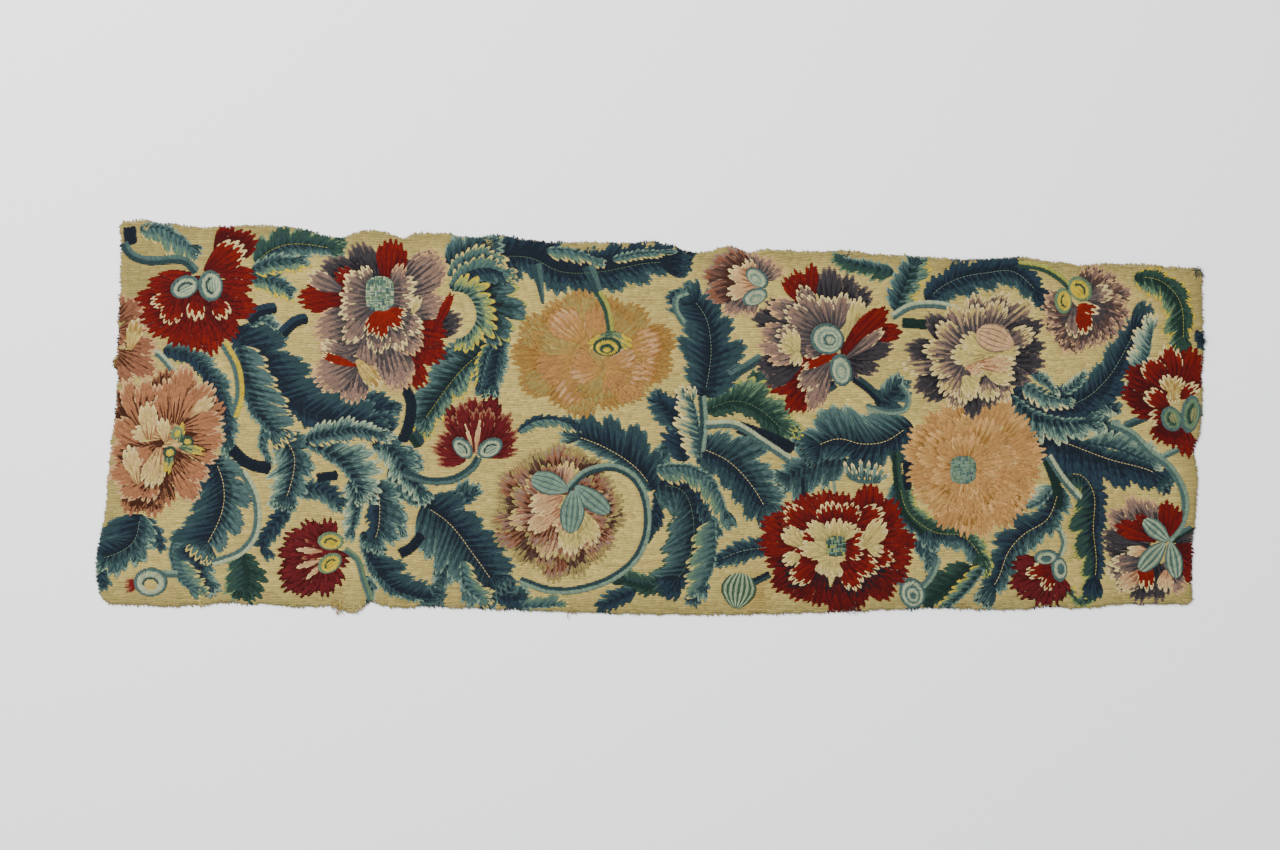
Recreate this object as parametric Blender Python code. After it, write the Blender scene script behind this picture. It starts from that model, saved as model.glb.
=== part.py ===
"""Crewel embroidery panel: one flat cut length of linen, worked all over in wool.

The cloth lies face up on its flat underside. Its four sides are cut by hand and
ragged. The worked face is as thick as the linen and the yarn together, a little
higher under the big blooms, and softly uneven between them.
"""
import math

import bmesh
import bpy

# Driving sizes, in metres. X runs along the panel, Y up its face, Z out of it.
LENGTH = 0.840
WIDTH = 0.299
CLOTH_THICKNESS = 0.0020
BLOOM_RISE = 0.0006
COCKLE_DEPTH = 0.00015
COCKLE_LENGTH = 0.115
COCKLE_SKEW = 1.9
COCKLE_PHASE = 0.7

# The four corners of the cut, on the middle line of each ragged side, and how
# far from the corner each side starts to turn into it.
CORNERS = {
    "top left": {"x": -0.3990, "y": 0.1460, "turn": 0.002},
    "top right": {"x": 0.4185, "y": 0.1110, "turn": 0.005},
    "bottom right": {"x": 0.4100, "y": -0.1385, "turn": 0.003},
    "bottom left": {"x": -0.4130, "y": -0.1385, "turn": 0.009},
}

# Each side's large bumps and bites: how far along the side the middle is (0 to 1),
# the half width in metres, and how far it stands out (bites are less than 0).
SIDE_SHAPES = {
    "top": {
        "from": "top left",
        "to": "top right",
        "bumps": [
            {"along": 0.020, "half_width": 0.014, "out": 0.0022},
            {"along": 0.072, "half_width": 0.022, "out": -0.0018},
            {"along": 0.136, "half_width": 0.036, "out": 0.0020},
            {"along": 0.196, "half_width": 0.026, "out": -0.0050},
            {"along": 0.229, "half_width": 0.020, "out": 0.0016},
            {"along": 0.259, "half_width": 0.009, "out": -0.0042},
            {"along": 0.290, "half_width": 0.024, "out": 0.0018},
            {"along": 0.350, "half_width": 0.020, "out": 0.0022},
            {"along": 0.400, "half_width": 0.034, "out": -0.0014},
            {"along": 0.487, "half_width": 0.022, "out": 0.0022},
            {"along": 0.532, "half_width": 0.022, "out": -0.0050},
            {"along": 0.562, "half_width": 0.010, "out": 0.0016},
            {"along": 0.580, "half_width": 0.012, "out": -0.0026},
            {"along": 0.670, "half_width": 0.022, "out": 0.0020},
            {"along": 0.772, "half_width": 0.030, "out": -0.0012},
            {"along": 0.832, "half_width": 0.030, "out": 0.0024},
            {"along": 0.886, "half_width": 0.014, "out": -0.0016},
            {"along": 0.940, "half_width": 0.030, "out": 0.0012},
        ],
    },
    "right": {
        "from": "top right",
        "to": "bottom right",
        "bumps": [
            {"along": 0.240, "half_width": 0.040, "out": 0.0026},
            {"along": 0.420, "half_width": 0.036, "out": 0.0032},
            {"along": 0.545, "half_width": 0.016, "out": -0.0022},
            {"along": 0.660, "half_width": 0.036, "out": 0.0014},
            {"along": 0.860, "half_width": 0.030, "out": -0.0010},
        ],
    },
    "bottom": {
        "from": "bottom right",
        "to": "bottom left",
        "bumps": [
            {"along": 0.100, "half_width": 0.030, "out": 0.0030},
            {"along": 0.170, "half_width": 0.060, "out": 0.0032},
            {"along": 0.450, "half_width": 0.300, "out": 0.0078},
            {"along": 0.728, "half_width": 0.018, "out": 0.0016},
            {"along": 0.753, "half_width": 0.006, "out": -0.0030},
            {"along": 0.772, "half_width": 0.012, "out": 0.0072},
            {"along": 0.815, "half_width": 0.032, "out": 0.0022},
            {"along": 0.886, "half_width": 0.018, "out": -0.0012},
            {"along": 0.940, "half_width": 0.040, "out": 0.0016},
        ],
    },
    "left": {
        "from": "bottom left",
        "to": "top left",
        "bumps": [
            {"along": 0.110, "half_width": 0.050, "out": 0.0062},
            {"along": 0.300, "half_width": 0.030, "out": 0.0008},
            {"along": 0.560, "half_width": 0.060, "out": -0.0030},
            {"along": 0.633, "half_width": 0.007, "out": 0.0036},
            {"along": 0.740, "half_width": 0.040, "out": -0.0014},
            {"along": 0.860, "half_width": 0.036, "out": -0.0016},
        ],
    },
}

# Ragged edge: a point every EDGE_STEP, moved out and in by the broken yarns,
# in waves of these lengths and depths.
EDGE_STEP = 0.0042
RAG_WAVES = [
    {"length": 0.0310, "phase": 1.3, "depth": 0.00025},
    {"length": 0.0173, "phase": 0.4, "depth": 0.00030},
    {"length": 0.0096, "phase": 2.1, "depth": 0.00030},
]

# The big worked blooms, which stand a little proud: centre and reach.
BLOOMS = [
    {"flower": "carnation", "x": -0.346, "y": 0.097, "reach": 0.046},
    {"flower": "peony", "x": -0.380, "y": -0.010, "reach": 0.052},
    {"flower": "poppy", "x": -0.207, "y": 0.074, "reach": 0.058},
    {"flower": "round bloom", "x": -0.038, "y": 0.047, "reach": 0.060},
    {"flower": "coiled bloom", "x": -0.065, "y": -0.071, "reach": 0.056},
    {"flower": "mauve bloom", "x": 0.129, "y": 0.062, "reach": 0.055},
    {"flower": "cream bloom", "x": 0.247, "y": 0.043, "reach": 0.052},
    {"flower": "orange bloom", "x": 0.247, "y": -0.036, "reach": 0.052},
    {"flower": "crimson bloom", "x": 0.144, "y": -0.101, "reach": 0.054},
    {"flower": "upper bloom", "x": 0.331, "y": 0.089, "reach": 0.034},
    {"flower": "edge bloom", "x": 0.392, "y": 0.013, "reach": 0.040},
    {"flower": "lower bloom", "x": 0.380, "y": -0.101, "reach": 0.040},
]

# Facets of the worked face.
CELLS_LONG = 64
CELLS_WIDE = 23
CUTTER_MARGIN = 0.01
WELD_DISTANCE = 0.00001

YARN_COLOUR = (0.30, 0.25, 0.15, 1.0)
YARN_ROUGHNESS = 0.92


def clear_scene():
    """Remove every object that the scene starts with."""
    for item in list(bpy.data.objects):
        bpy.data.objects.remove(item, do_unlink=True)


def new_collection(name):
    """Add a collection under the scene."""
    group = bpy.data.collections.new(name)
    bpy.context.scene.collection.children.link(group)
    return group


def bump_height(distance, half_width, height):
    """A smooth bump: full height at its middle, nothing past its half width."""
    if distance >= half_width:
        return 0.0
    return height * 0.5 * (1.0 + math.cos(math.pi * distance / half_width))


def rag(run):
    """How far the broken yarns stand out at a distance along the cut."""
    return sum(
        wave["depth"] * math.sin(2.0 * math.pi * run / wave["length"] + wave["phase"])
        for wave in RAG_WAVES
    )


def side_points(side):
    """Points along one ragged side, from one turned corner to the next."""
    start = CORNERS[side["from"]]
    end = CORNERS[side["to"]]
    span_x = end["x"] - start["x"]
    span_y = end["y"] - start["y"]
    span = math.hypot(span_x, span_y)
    outward = (-span_y / span, span_x / span)
    straight = span - start["turn"] - end["turn"]
    count = round(straight / EDGE_STEP)
    points = []
    for step in range(count + 1):
        run = start["turn"] + straight * step / count
        out = rag(run)
        for bump in side["bumps"]:
            distance = abs(run - bump["along"] * span)
            out += bump_height(distance, bump["half_width"], bump["out"])
        points.append((
            start["x"] + run / span * span_x + out * outward[0],
            start["y"] + run / span * span_y + out * outward[1],
        ))
    return points


def corner_points(corner, before, after):
    """Two points that round a corner between the sides that meet there."""
    points = []
    for part in (1.0 / 3.0, 2.0 / 3.0):
        first = (1.0 - part) ** 2
        middle = 2.0 * part * (1.0 - part)
        last = part ** 2
        points.append((
            first * before[0] + middle * corner["x"] + last * after[0],
            first * before[1] + middle * corner["y"] + last * after[1],
        ))
    return points


def outline_points():
    """The whole ragged outline, moved and sized to the panel's box."""
    sides = list(SIDE_SHAPES.values())
    runs = [side_points(side) for side in sides]
    points = []
    for index, side in enumerate(sides):
        following = runs[(index + 1) % len(runs)]
        points.extend(runs[index])
        points.extend(corner_points(CORNERS[side["to"]], runs[index][-1], following[0]))
    low_x = min(p[0] for p in points)
    high_x = max(p[0] for p in points)
    low_y = min(p[1] for p in points)
    high_y = max(p[1] for p in points)
    scale_x = LENGTH / (high_x - low_x)
    scale_y = WIDTH / (high_y - low_y)
    middle_x = 0.5 * (low_x + high_x)
    middle_y = 0.5 * (low_y + high_y)
    return [((x - middle_x) * scale_x, (y - middle_y) * scale_y) for x, y in points]


def face_height(x, y):
    """Height of the worked face over the underside."""
    height = CLOTH_THICKNESS
    wave_x = math.sin(2.0 * math.pi * x / COCKLE_LENGTH + COCKLE_PHASE)
    wave_y = math.sin((2.0 * math.pi * y + COCKLE_SKEW * x) / COCKLE_LENGTH)
    height += COCKLE_DEPTH * wave_x * wave_y
    for bloom in BLOOMS:
        distance = math.hypot(x - bloom["x"], y - bloom["y"])
        height += bump_height(distance, bloom["reach"], BLOOM_RISE)
    return height


def make_cut_outline(points, cutters):
    """The ragged outline as an upright wall, a filled flat curve pulled out."""
    curve = bpy.data.curves.new("cut outline", "CURVE")
    curve.dimensions = "2D"
    curve.fill_mode = "BOTH"
    curve.extrude = CUTTER_MARGIN
    spline = curve.splines.new("POLY")
    spline.points.add(len(points) - 1)
    for point, (x, y) in zip(spline.points, points):
        point.co = (x, y, 0.0, 1.0)
    spline.use_cyclic_u = True
    drawn = bpy.data.objects.new("cut outline curve", curve)
    cutters.objects.link(drawn)
    bpy.context.view_layer.update()
    depsgraph = bpy.context.evaluated_depsgraph_get()
    mesh = bpy.data.meshes.new_from_object(drawn.evaluated_get(depsgraph))
    bpy.data.objects.remove(drawn, do_unlink=True)
    shape = bmesh.new()
    shape.from_mesh(mesh)
    bmesh.ops.remove_doubles(shape, verts=shape.verts, dist=WELD_DISTANCE)
    bmesh.ops.recalc_face_normals(shape, faces=shape.faces)
    shape.to_mesh(mesh)
    shape.free()
    cutter = bpy.data.objects.new("cut outline", mesh)
    cutter.hide_render = True
    cutter.display_type = "WIRE"
    cutters.objects.link(cutter)
    return cutter


def yarn_material():
    """Wool yarn: matt, straw coloured on the whole."""
    material = bpy.data.materials.new("wool on linen")
    material.use_nodes = True
    shader = material.node_tree.nodes["Principled BSDF"]
    shader.inputs["Base Color"].default_value = YARN_COLOUR
    shader.inputs["Roughness"].default_value = YARN_ROUGHNESS
    shader.inputs["Metallic"].default_value = 0.0
    return material


def make_panel(parts, cutter):
    """The cloth: a slab with its face raised by the work, cut to the outline."""
    bpy.ops.mesh.primitive_grid_add(
        x_subdivisions=CELLS_LONG,
        y_subdivisions=CELLS_WIDE,
        size=1.0,
    )
    panel = bpy.context.object
    panel.name = "panel"
    mesh = panel.data
    mesh.name = "panel"
    slab = bmesh.new()
    slab.from_mesh(mesh)
    slab_length = LENGTH + CUTTER_MARGIN
    slab_width = WIDTH + CUTTER_MARGIN
    bmesh.ops.scale(slab, verts=slab.verts, vec=(slab_length, slab_width, 1.0))
    rim = [edge for edge in slab.edges if edge.is_boundary]
    walls = bmesh.ops.extrude_edge_only(slab, edges=rim)["geom"]
    lower = [item for item in walls if isinstance(item, bmesh.types.BMVert)]
    lower_rim = [
        edge for edge in slab.edges
        if edge.is_boundary and all(vert in lower for vert in edge.verts)
    ]
    bmesh.ops.contextual_create(slab, geom=lower_rim)
    lower_set = set(lower)
    for vert in slab.verts:
        if vert not in lower_set:
            vert.co.z = face_height(vert.co.x, vert.co.y)
    bmesh.ops.recalc_face_normals(slab, faces=slab.faces)
    slab.to_mesh(mesh)
    slab.free()
    trim = panel.modifiers.new("ragged cut", "BOOLEAN")
    trim.operation = "INTERSECT"
    trim.object = cutter
    mesh.materials.append(yarn_material())
    for group in list(panel.users_collection):
        group.objects.unlink(panel)
    parts.objects.link(panel)
    return panel


clear_scene()
part_collection = new_collection("crewel embroidery panel")
cutter_collection = new_collection("cutters")
cut_outline = make_cut_outline(outline_points(), cutter_collection)
make_panel(part_collection, cut_outline)
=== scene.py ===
"""Crewel embroidery panel, laid out flat and seen from straight above.

The linen is dressed in the order that the work is laid over itself: seed heads and
pods, blooms, stems, leaves, and then the straw coloured ground that is filled in
around them all. Each motif takes its own patch of cloth, and its yarns stop there.
The frayed sides and the loose threads come last.
"""
import math

import bmesh
import bpy
import numpy as np
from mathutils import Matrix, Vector
from mathutils.kdtree import KDTree


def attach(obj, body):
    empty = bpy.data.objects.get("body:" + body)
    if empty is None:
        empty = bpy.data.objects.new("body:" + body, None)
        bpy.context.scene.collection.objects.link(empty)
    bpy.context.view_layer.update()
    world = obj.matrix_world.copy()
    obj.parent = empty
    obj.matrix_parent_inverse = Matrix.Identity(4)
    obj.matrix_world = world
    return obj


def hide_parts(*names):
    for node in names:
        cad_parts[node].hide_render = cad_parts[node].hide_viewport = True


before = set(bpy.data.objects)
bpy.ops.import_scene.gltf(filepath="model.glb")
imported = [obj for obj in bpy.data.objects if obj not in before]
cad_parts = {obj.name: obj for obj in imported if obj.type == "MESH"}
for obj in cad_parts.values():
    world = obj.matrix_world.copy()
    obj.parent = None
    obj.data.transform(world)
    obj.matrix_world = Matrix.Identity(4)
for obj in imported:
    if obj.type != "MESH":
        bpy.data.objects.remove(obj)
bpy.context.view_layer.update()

chance = np.random.default_rng(1747)


# Linen ground cloth: one cut length of plain woven linen, ragged on all four sides.
# Its outline and its underside are the solid's own, and its face is lowered to leave
# room for the wool that is worked through it.

LINEN_THICKNESS = 0.0011
LINEN_COLOUR = (0.36, 0.27, 0.15, 1.0)
LINEN_DARK = (0.20, 0.14, 0.075, 1.0)
LINEN_THREADS_PER_METRE = 1400.0
THREAD_WAVER = 1.2
LINEN_SWELL = 0.1
FACE_ABOVE = 0.0005

linen = bpy.data.objects.new("linen", bpy.data.objects["panel"].data.copy())
bpy.context.scene.collection.objects.link(linen)
cloth = bmesh.new()
cloth.from_mesh(linen.data)
bmesh.ops.remove_doubles(cloth, verts=cloth.verts, dist=1e-6)
floor_level = min(vert.co.z for vert in cloth.verts)
for vert in cloth.verts:
    if vert.co.z > floor_level + FACE_ABOVE:
        vert.co.z = LINEN_THICKNESS + LINEN_SWELL * (vert.co.z - 2.0 * LINEN_THICKNESS)
under_faces = [face for face in cloth.faces if face.normal.z < -0.9]
rim_edges = [
    edge for face in under_faces for edge in face.edges
    if any(abs(other.normal.z) < 0.5 for other in edge.link_faces)
]
follow = {}
for edge in rim_edges:
    for here, there in (edge.verts, reversed(edge.verts)):
        follow.setdefault(here, []).append(there)
start_vert = min(follow, key=lambda vert: (round(vert.co.x, 5), vert.co.y))
outline = [start_vert]
previous, current = None, start_vert
while True:
    following = [vert for vert in follow[current] if vert is not previous][0]
    if following is start_vert:
        break
    outline.append(following)
    previous, current = current, following
outline = np.array([(vert.co.x, vert.co.y) for vert in outline])
turning = np.sum(
    outline[:, 0] * np.roll(outline[:, 1], -1) - np.roll(outline[:, 0], -1) * outline[:, 1]
)
if turning < 0.0:
    outline = outline[::-1]
cloth.to_mesh(linen.data)
cloth.free()


def new_material(name):
    """A material with its node tree ready and its shader found."""
    material = bpy.data.materials.new(name)
    material.use_nodes = True
    nodes = material.node_tree.nodes
    return material, nodes, material.node_tree.links, nodes["Principled BSDF"]


linen_material, nodes, links, shader = new_material("plain linen")
shader.inputs["Roughness"].default_value = 0.93
shader.inputs["Sheen Weight"].default_value = 0.15
place = nodes.new("ShaderNodeTexCoord")
warp = nodes.new("ShaderNodeTexWave")
weft = nodes.new("ShaderNodeTexWave")
for threads, direction in ((warp, "X"), (weft, "Y")):
    threads.bands_direction = direction
    threads.inputs["Scale"].default_value = LINEN_THREADS_PER_METRE / 20.0 * math.pi
    threads.inputs["Distortion"].default_value = THREAD_WAVER
crossing = nodes.new("ShaderNodeMath")
crossing.operation = "MAXIMUM"
wear = nodes.new("ShaderNodeTexNoise")
wear.inputs["Scale"].default_value = 45.0
wear.inputs["Detail"].default_value = 6.0
tone = nodes.new("ShaderNodeMix")
tone.data_type = "RGBA"
tone.inputs["A"].default_value = LINEN_DARK
tone.inputs["B"].default_value = LINEN_COLOUR
relief = nodes.new("ShaderNodeBump")
relief.inputs["Strength"].default_value = 0.6
relief.inputs["Distance"].default_value = 0.0003
for texture in (warp, weft, wear):
    links.new(place.outputs["Object"], texture.inputs["Vector"])
links.new(warp.outputs["Fac"], crossing.inputs[0])
links.new(weft.outputs["Fac"], crossing.inputs[1])
blend_of_two = nodes.new("ShaderNodeMath")
blend_of_two.operation = "MULTIPLY"
links.new(crossing.outputs["Value"], blend_of_two.inputs[0])
links.new(wear.outputs["Fac"], blend_of_two.inputs[1])
links.new(blend_of_two.outputs["Value"], tone.inputs["Factor"])
links.new(tone.outputs["Result"], shader.inputs["Base Color"])
links.new(crossing.outputs["Value"], relief.inputs["Height"])
links.new(relief.outputs["Normal"], shader.inputs["Normal"])
linen.data.materials.clear()
linen.data.materials.append(linen_material)
linen.data.set_sharp_from_angle(angle=math.radians(40.0))
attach(linen, "root")
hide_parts("panel")


# Where each motif lies. Places are read off the photograph, whose pixel covers
# 0.76 mm of cloth, and the cloth is divided into fine cells. A motif that is laid
# takes the cells inside its outline that nothing above it holds.

PIXEL = 0.00076
PANEL_MIDDLE = (650.25, 417.5)
CELL = 0.0004
EDGE_INSET = 0.0004
GRID_MARGIN = 4 * CELL
MM = 0.001

grid_low = outline.min(axis=0) - GRID_MARGIN
grid_shape = np.ceil((outline.max(axis=0) + GRID_MARGIN - grid_low) / CELL).astype(int)


def on_cloth(points):
    """Places in the photograph as places on the cloth, in metres."""
    points = np.asarray(points, dtype=float)
    return np.stack(
        [
            (points[..., 0] - PANEL_MIDDLE[0]) * PIXEL,
            (PANEL_MIDDLE[1] - points[..., 1]) * PIXEL,
        ],
        axis=-1,
    )


def cells_inside(shape):
    """The cells inside an outline, and the lowest one of their window."""
    low = np.maximum(np.floor((shape.min(axis=0) - grid_low) / CELL).astype(int), 0)
    high = np.minimum(np.ceil((shape.max(axis=0) - grid_low) / CELL).astype(int), grid_shape)
    if np.any(high <= low):
        return np.zeros((0, 0), dtype=bool), low
    rows = grid_low[1] + (np.arange(low[1], high[1]) + 0.5) * CELL
    ends = np.roll(shape, -1, axis=0)
    rise = ends[:, 1] - shape[:, 1]
    crosses = (shape[None, :, 1] <= rows[:, None]) != (ends[None, :, 1] <= rows[:, None])
    row, side = np.nonzero(crosses)
    part = (rows[row] - shape[side, 1]) / rise[side]
    at = shape[side, 0] + part * (ends[side, 0] - shape[side, 0])
    columns = high[0] - low[0]
    column = np.ceil((at - grid_low[0]) / CELL - 0.5).astype(int) - low[0]
    winding = np.zeros((len(rows), columns + 1), dtype=int)
    np.add.at(winding, (row, np.clip(column, 0, columns)), np.where(rise[side] > 0, 1, -1))
    return np.cumsum(winding, axis=1)[:, :columns] != 0, low


free_cells = np.zeros((grid_shape[1], grid_shape[0]), dtype=bool)
inside, corner = cells_inside(outline)
free_cells[corner[1]:corner[1] + inside.shape[0], corner[0]:corner[0] + inside.shape[1]] = inside
for _ in range(round(EDGE_INSET / CELL)):
    free_cells[1:-1, 1:-1] &= (
        free_cells[:-2, 1:-1] & free_cells[2:, 1:-1] & free_cells[1:-1, :-2] & free_cells[1:-1, 2:]
    )


def claim(shape):
    """Take the free cells inside a motif's outline."""
    inside, low = cells_inside(shape)
    window = free_cells[low[1]:low[1] + inside.shape[0], low[0]:low[0] + inside.shape[1]]
    taken = inside & window
    window &= ~inside
    return taken, low


def holds(patch, points):
    """Whether each point lies on a patch of claimed cells."""
    taken, low = patch
    cell = np.floor((points - grid_low) / CELL).astype(int) - low
    within = (
        (cell[..., 0] >= 0) & (cell[..., 0] < taken.shape[1])
        & (cell[..., 1] >= 0) & (cell[..., 1] < taken.shape[0])
    )
    if taken.size == 0:
        return within & False
    column = np.clip(cell[..., 0], 0, taken.shape[1] - 1)
    row = np.clip(cell[..., 1], 0, taken.shape[0] - 1)
    return within & taken[row, column]


# The wool: two-ply crewel yarn in the dyer's shades of the panel, faded by age. Each
# shade is given as a lit stitch of it looks, in red, green and blue up to 255.

WOOL = {
    "ink": (40, 38, 44),
    "navy": (36, 44, 54),
    "blue": (50, 66, 78),
    "deep teal": (56, 76, 78),
    "teal": (84, 106, 102),
    "pale teal": (124, 144, 126),
    "ice": (164, 172, 142),
    "dark green": (38, 58, 52),
    "leaf green": (58, 82, 70),
    "sea green": (108, 130, 102),
    "lime": (160, 160, 92),
    "yellow": (192, 170, 82),
    "straw": (192, 174, 116),
    "cream": (208, 190, 142),
    "crimson": (116, 36, 34),
    "scarlet": (132, 44, 36),
    "maroon": (84, 28, 28),
    "brick": (112, 42, 44),
    "rose": (148, 102, 80),
    "salmon": (164, 116, 88),
    "blush": (194, 160, 122),
    "umber": (78, 46, 34),
    "mauve": (146, 120, 106),
    "grey mauve": (110, 96, 90),
    "plum": (94, 72, 66),
    "slate": (72, 68, 70),
    "ochre": (160, 127, 79),
    "tan": (172, 130, 88),
    "rust": (150, 110, 66),
    "orange": (184, 145, 98),
    "apricot": (202, 162, 114),
    "khaki": (158, 144, 96),
}
DYE_FULLNESS = 1.2
DYE_PIVOT = 0.45
DYE_DEPTH = 1.22
DYE_LIGHT = 0.78


def dyed(name):
    """A shade of the wool as linear colour, deepened since fuzzy yarn looks paler."""
    value = np.array(WOOL[name]) / 255.0
    linear = np.where(value <= 0.04045, value / 12.92, ((value + 0.055) / 1.055) ** 2.4)
    grey = linear.mean()
    linear = np.clip(grey + (linear - grey) * DYE_FULLNESS, 0.002, 1.0)
    return DYE_LIGHT * linear * (linear.mean() / DYE_PIVOT) ** (DYE_DEPTH - 1.0)


def shades(ramp, position):
    """The wool of each stitch, by its position from 0 to 1 along a ramp of shades."""
    table = np.array([dyed(name) for name in ramp])
    at = np.clip(position, 0.0, 1.0) * (len(ramp) - 1)
    below = np.clip(at.astype(int), 0, max(len(ramp) - 2, 0))
    above = np.minimum(below + 1, len(ramp) - 1)
    blend = (at - below)[:, None]
    return table[below] * (1.0 - blend) + table[above] * blend


# One stitch, modelled once: a ridged length of yarn, open on the side that lies on
# the linen, whose two ends go down into the cloth. It is one long, one wide and one
# high, and each stitch on the cloth is this one at its own length and place.

STITCH_PITCH = 0.00105
STITCH_LENGTH = 0.0068
STITCH_HEIGHT = 0.00095
SHORTEST_STITCH = 0.0004
STITCH_TAIL = 0.0006
SHOULDER = 0.42
SHOULDER_SIZE = 0.96
TIP_HEIGHT = 0.06
# painted shade at the foot and the ends of each yarn
PAINTED_FOOT_SHADE = 0.64
FIT_STEPS = 18
SWAY = 0.03
YARN_WIDTHS = (1.18, 1.42)
YARN_HEIGHTS = (0.92, 1.08)
SHADE_SPREAD = 0.09
HUE_SPREAD = 0.015
TWISTS_PER_METRE = 250.0
TWIST_ACROSS = 0.35

bpy.ops.mesh.primitive_cylinder_add(
    vertices=3, radius=0.5, depth=1.0, end_fill_type="TRIFAN",
    rotation=(math.pi / 2.0, 0.0, math.pi / 2.0),
)
stitch = bpy.context.object
stitch.name = "one stitch"
bpy.ops.object.transform_apply(rotation=True)
points = np.array([vert.co[:] for vert in stitch.data.vertices])
top, bottom = points[:, 2].max(), points[:, 2].min()
half = np.abs(points[:, 1]).max()
at_end = np.abs(points[:, 0]) > 0.49
at_tip = at_end & (np.abs(points[:, 1]) < 0.01) & (np.abs(points[:, 2]) < 0.01)
at_shoulder = at_end & ~at_tip
points[:, 1] *= 0.5 / half
points[:, 2] = (points[:, 2] - bottom) / (top - bottom)
points[at_shoulder, 0] = np.sign(points[at_shoulder, 0]) * SHOULDER
points[at_shoulder, 1] *= SHOULDER_SIZE
points[at_shoulder, 2] *= SHOULDER_SIZE
points[at_tip, 1] = 0.0
points[at_tip, 2] = TIP_HEIGHT
yarn_points = points
yarn_faces = [
    tuple(polygon.vertices) for polygon in stitch.data.polygons
    if points[list(polygon.vertices), 2].max() > 0.5
]
yarn_corners = np.array([corner for face in yarn_faces for corner in face])
yarn_sizes = np.array([len(face) for face in yarn_faces])
# painted shade: the foot of each yarn and its ends in the cloth are coloured darker, for the shade
# in the crevices between yarns
yarn_painted_shade = np.where(points[:, 2] > 0.5, 1.0, PAINTED_FOOT_SHADE)
bpy.data.objects.remove(stitch, do_unlink=True)

wool_material, nodes, links, shader = new_material("crewel wool")
shader.inputs["Roughness"].default_value = 0.88
shader.inputs["Sheen Weight"].default_value = 0.06
shader.inputs["Sheen Roughness"].default_value = 0.45
shader.inputs["Specular IOR Level"].default_value = 0.12
# the colour attribute holds each stitch's wool with painted shade at its foot and ends
dye_with_painted_shade = nodes.new("ShaderNodeAttribute")
dye_with_painted_shade.attribute_name = "dye_with_painted_shade"
place = nodes.new("ShaderNodeTexCoord")
fade = nodes.new("ShaderNodeTexNoise")
fade.inputs["Scale"].default_value = 420.0
fade.inputs["Detail"].default_value = 5.0
fade_range = nodes.new("ShaderNodeMapRange")
fade_range.inputs["To Min"].default_value = 0.72
fade_range.inputs["To Max"].default_value = 1.28
faded = nodes.new("ShaderNodeMix")
faded.data_type = "RGBA"
faded.blend_type = "MULTIPLY"
faded.inputs["Factor"].default_value = 1.0
twist_map = nodes.new("ShaderNodeUVMap")
twist_map.uv_map = "twist"
ply = nodes.new("ShaderNodeTexWave")
ply.bands_direction = "DIAGONAL"
ply.inputs["Scale"].default_value = 1.0
ply.inputs["Distortion"].default_value = 0.6
relief = nodes.new("ShaderNodeBump")
relief.inputs["Strength"].default_value = 0.5
relief.inputs["Distance"].default_value = 0.00018
links.new(place.outputs["Object"], fade.inputs["Vector"])
links.new(fade.outputs["Fac"], fade_range.inputs["Value"])
links.new(dye_with_painted_shade.outputs["Color"], faded.inputs["A"])
links.new(fade_range.outputs["Result"], faded.inputs["B"])
links.new(faded.outputs["Result"], shader.inputs["Base Color"])
links.new(twist_map.outputs["UV"], ply.inputs["Vector"])
links.new(ply.outputs["Fac"], relief.inputs["Height"])
links.new(relief.outputs["Normal"], shader.inputs["Normal"])

sewn_places = []
sewn_shades = []


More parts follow.
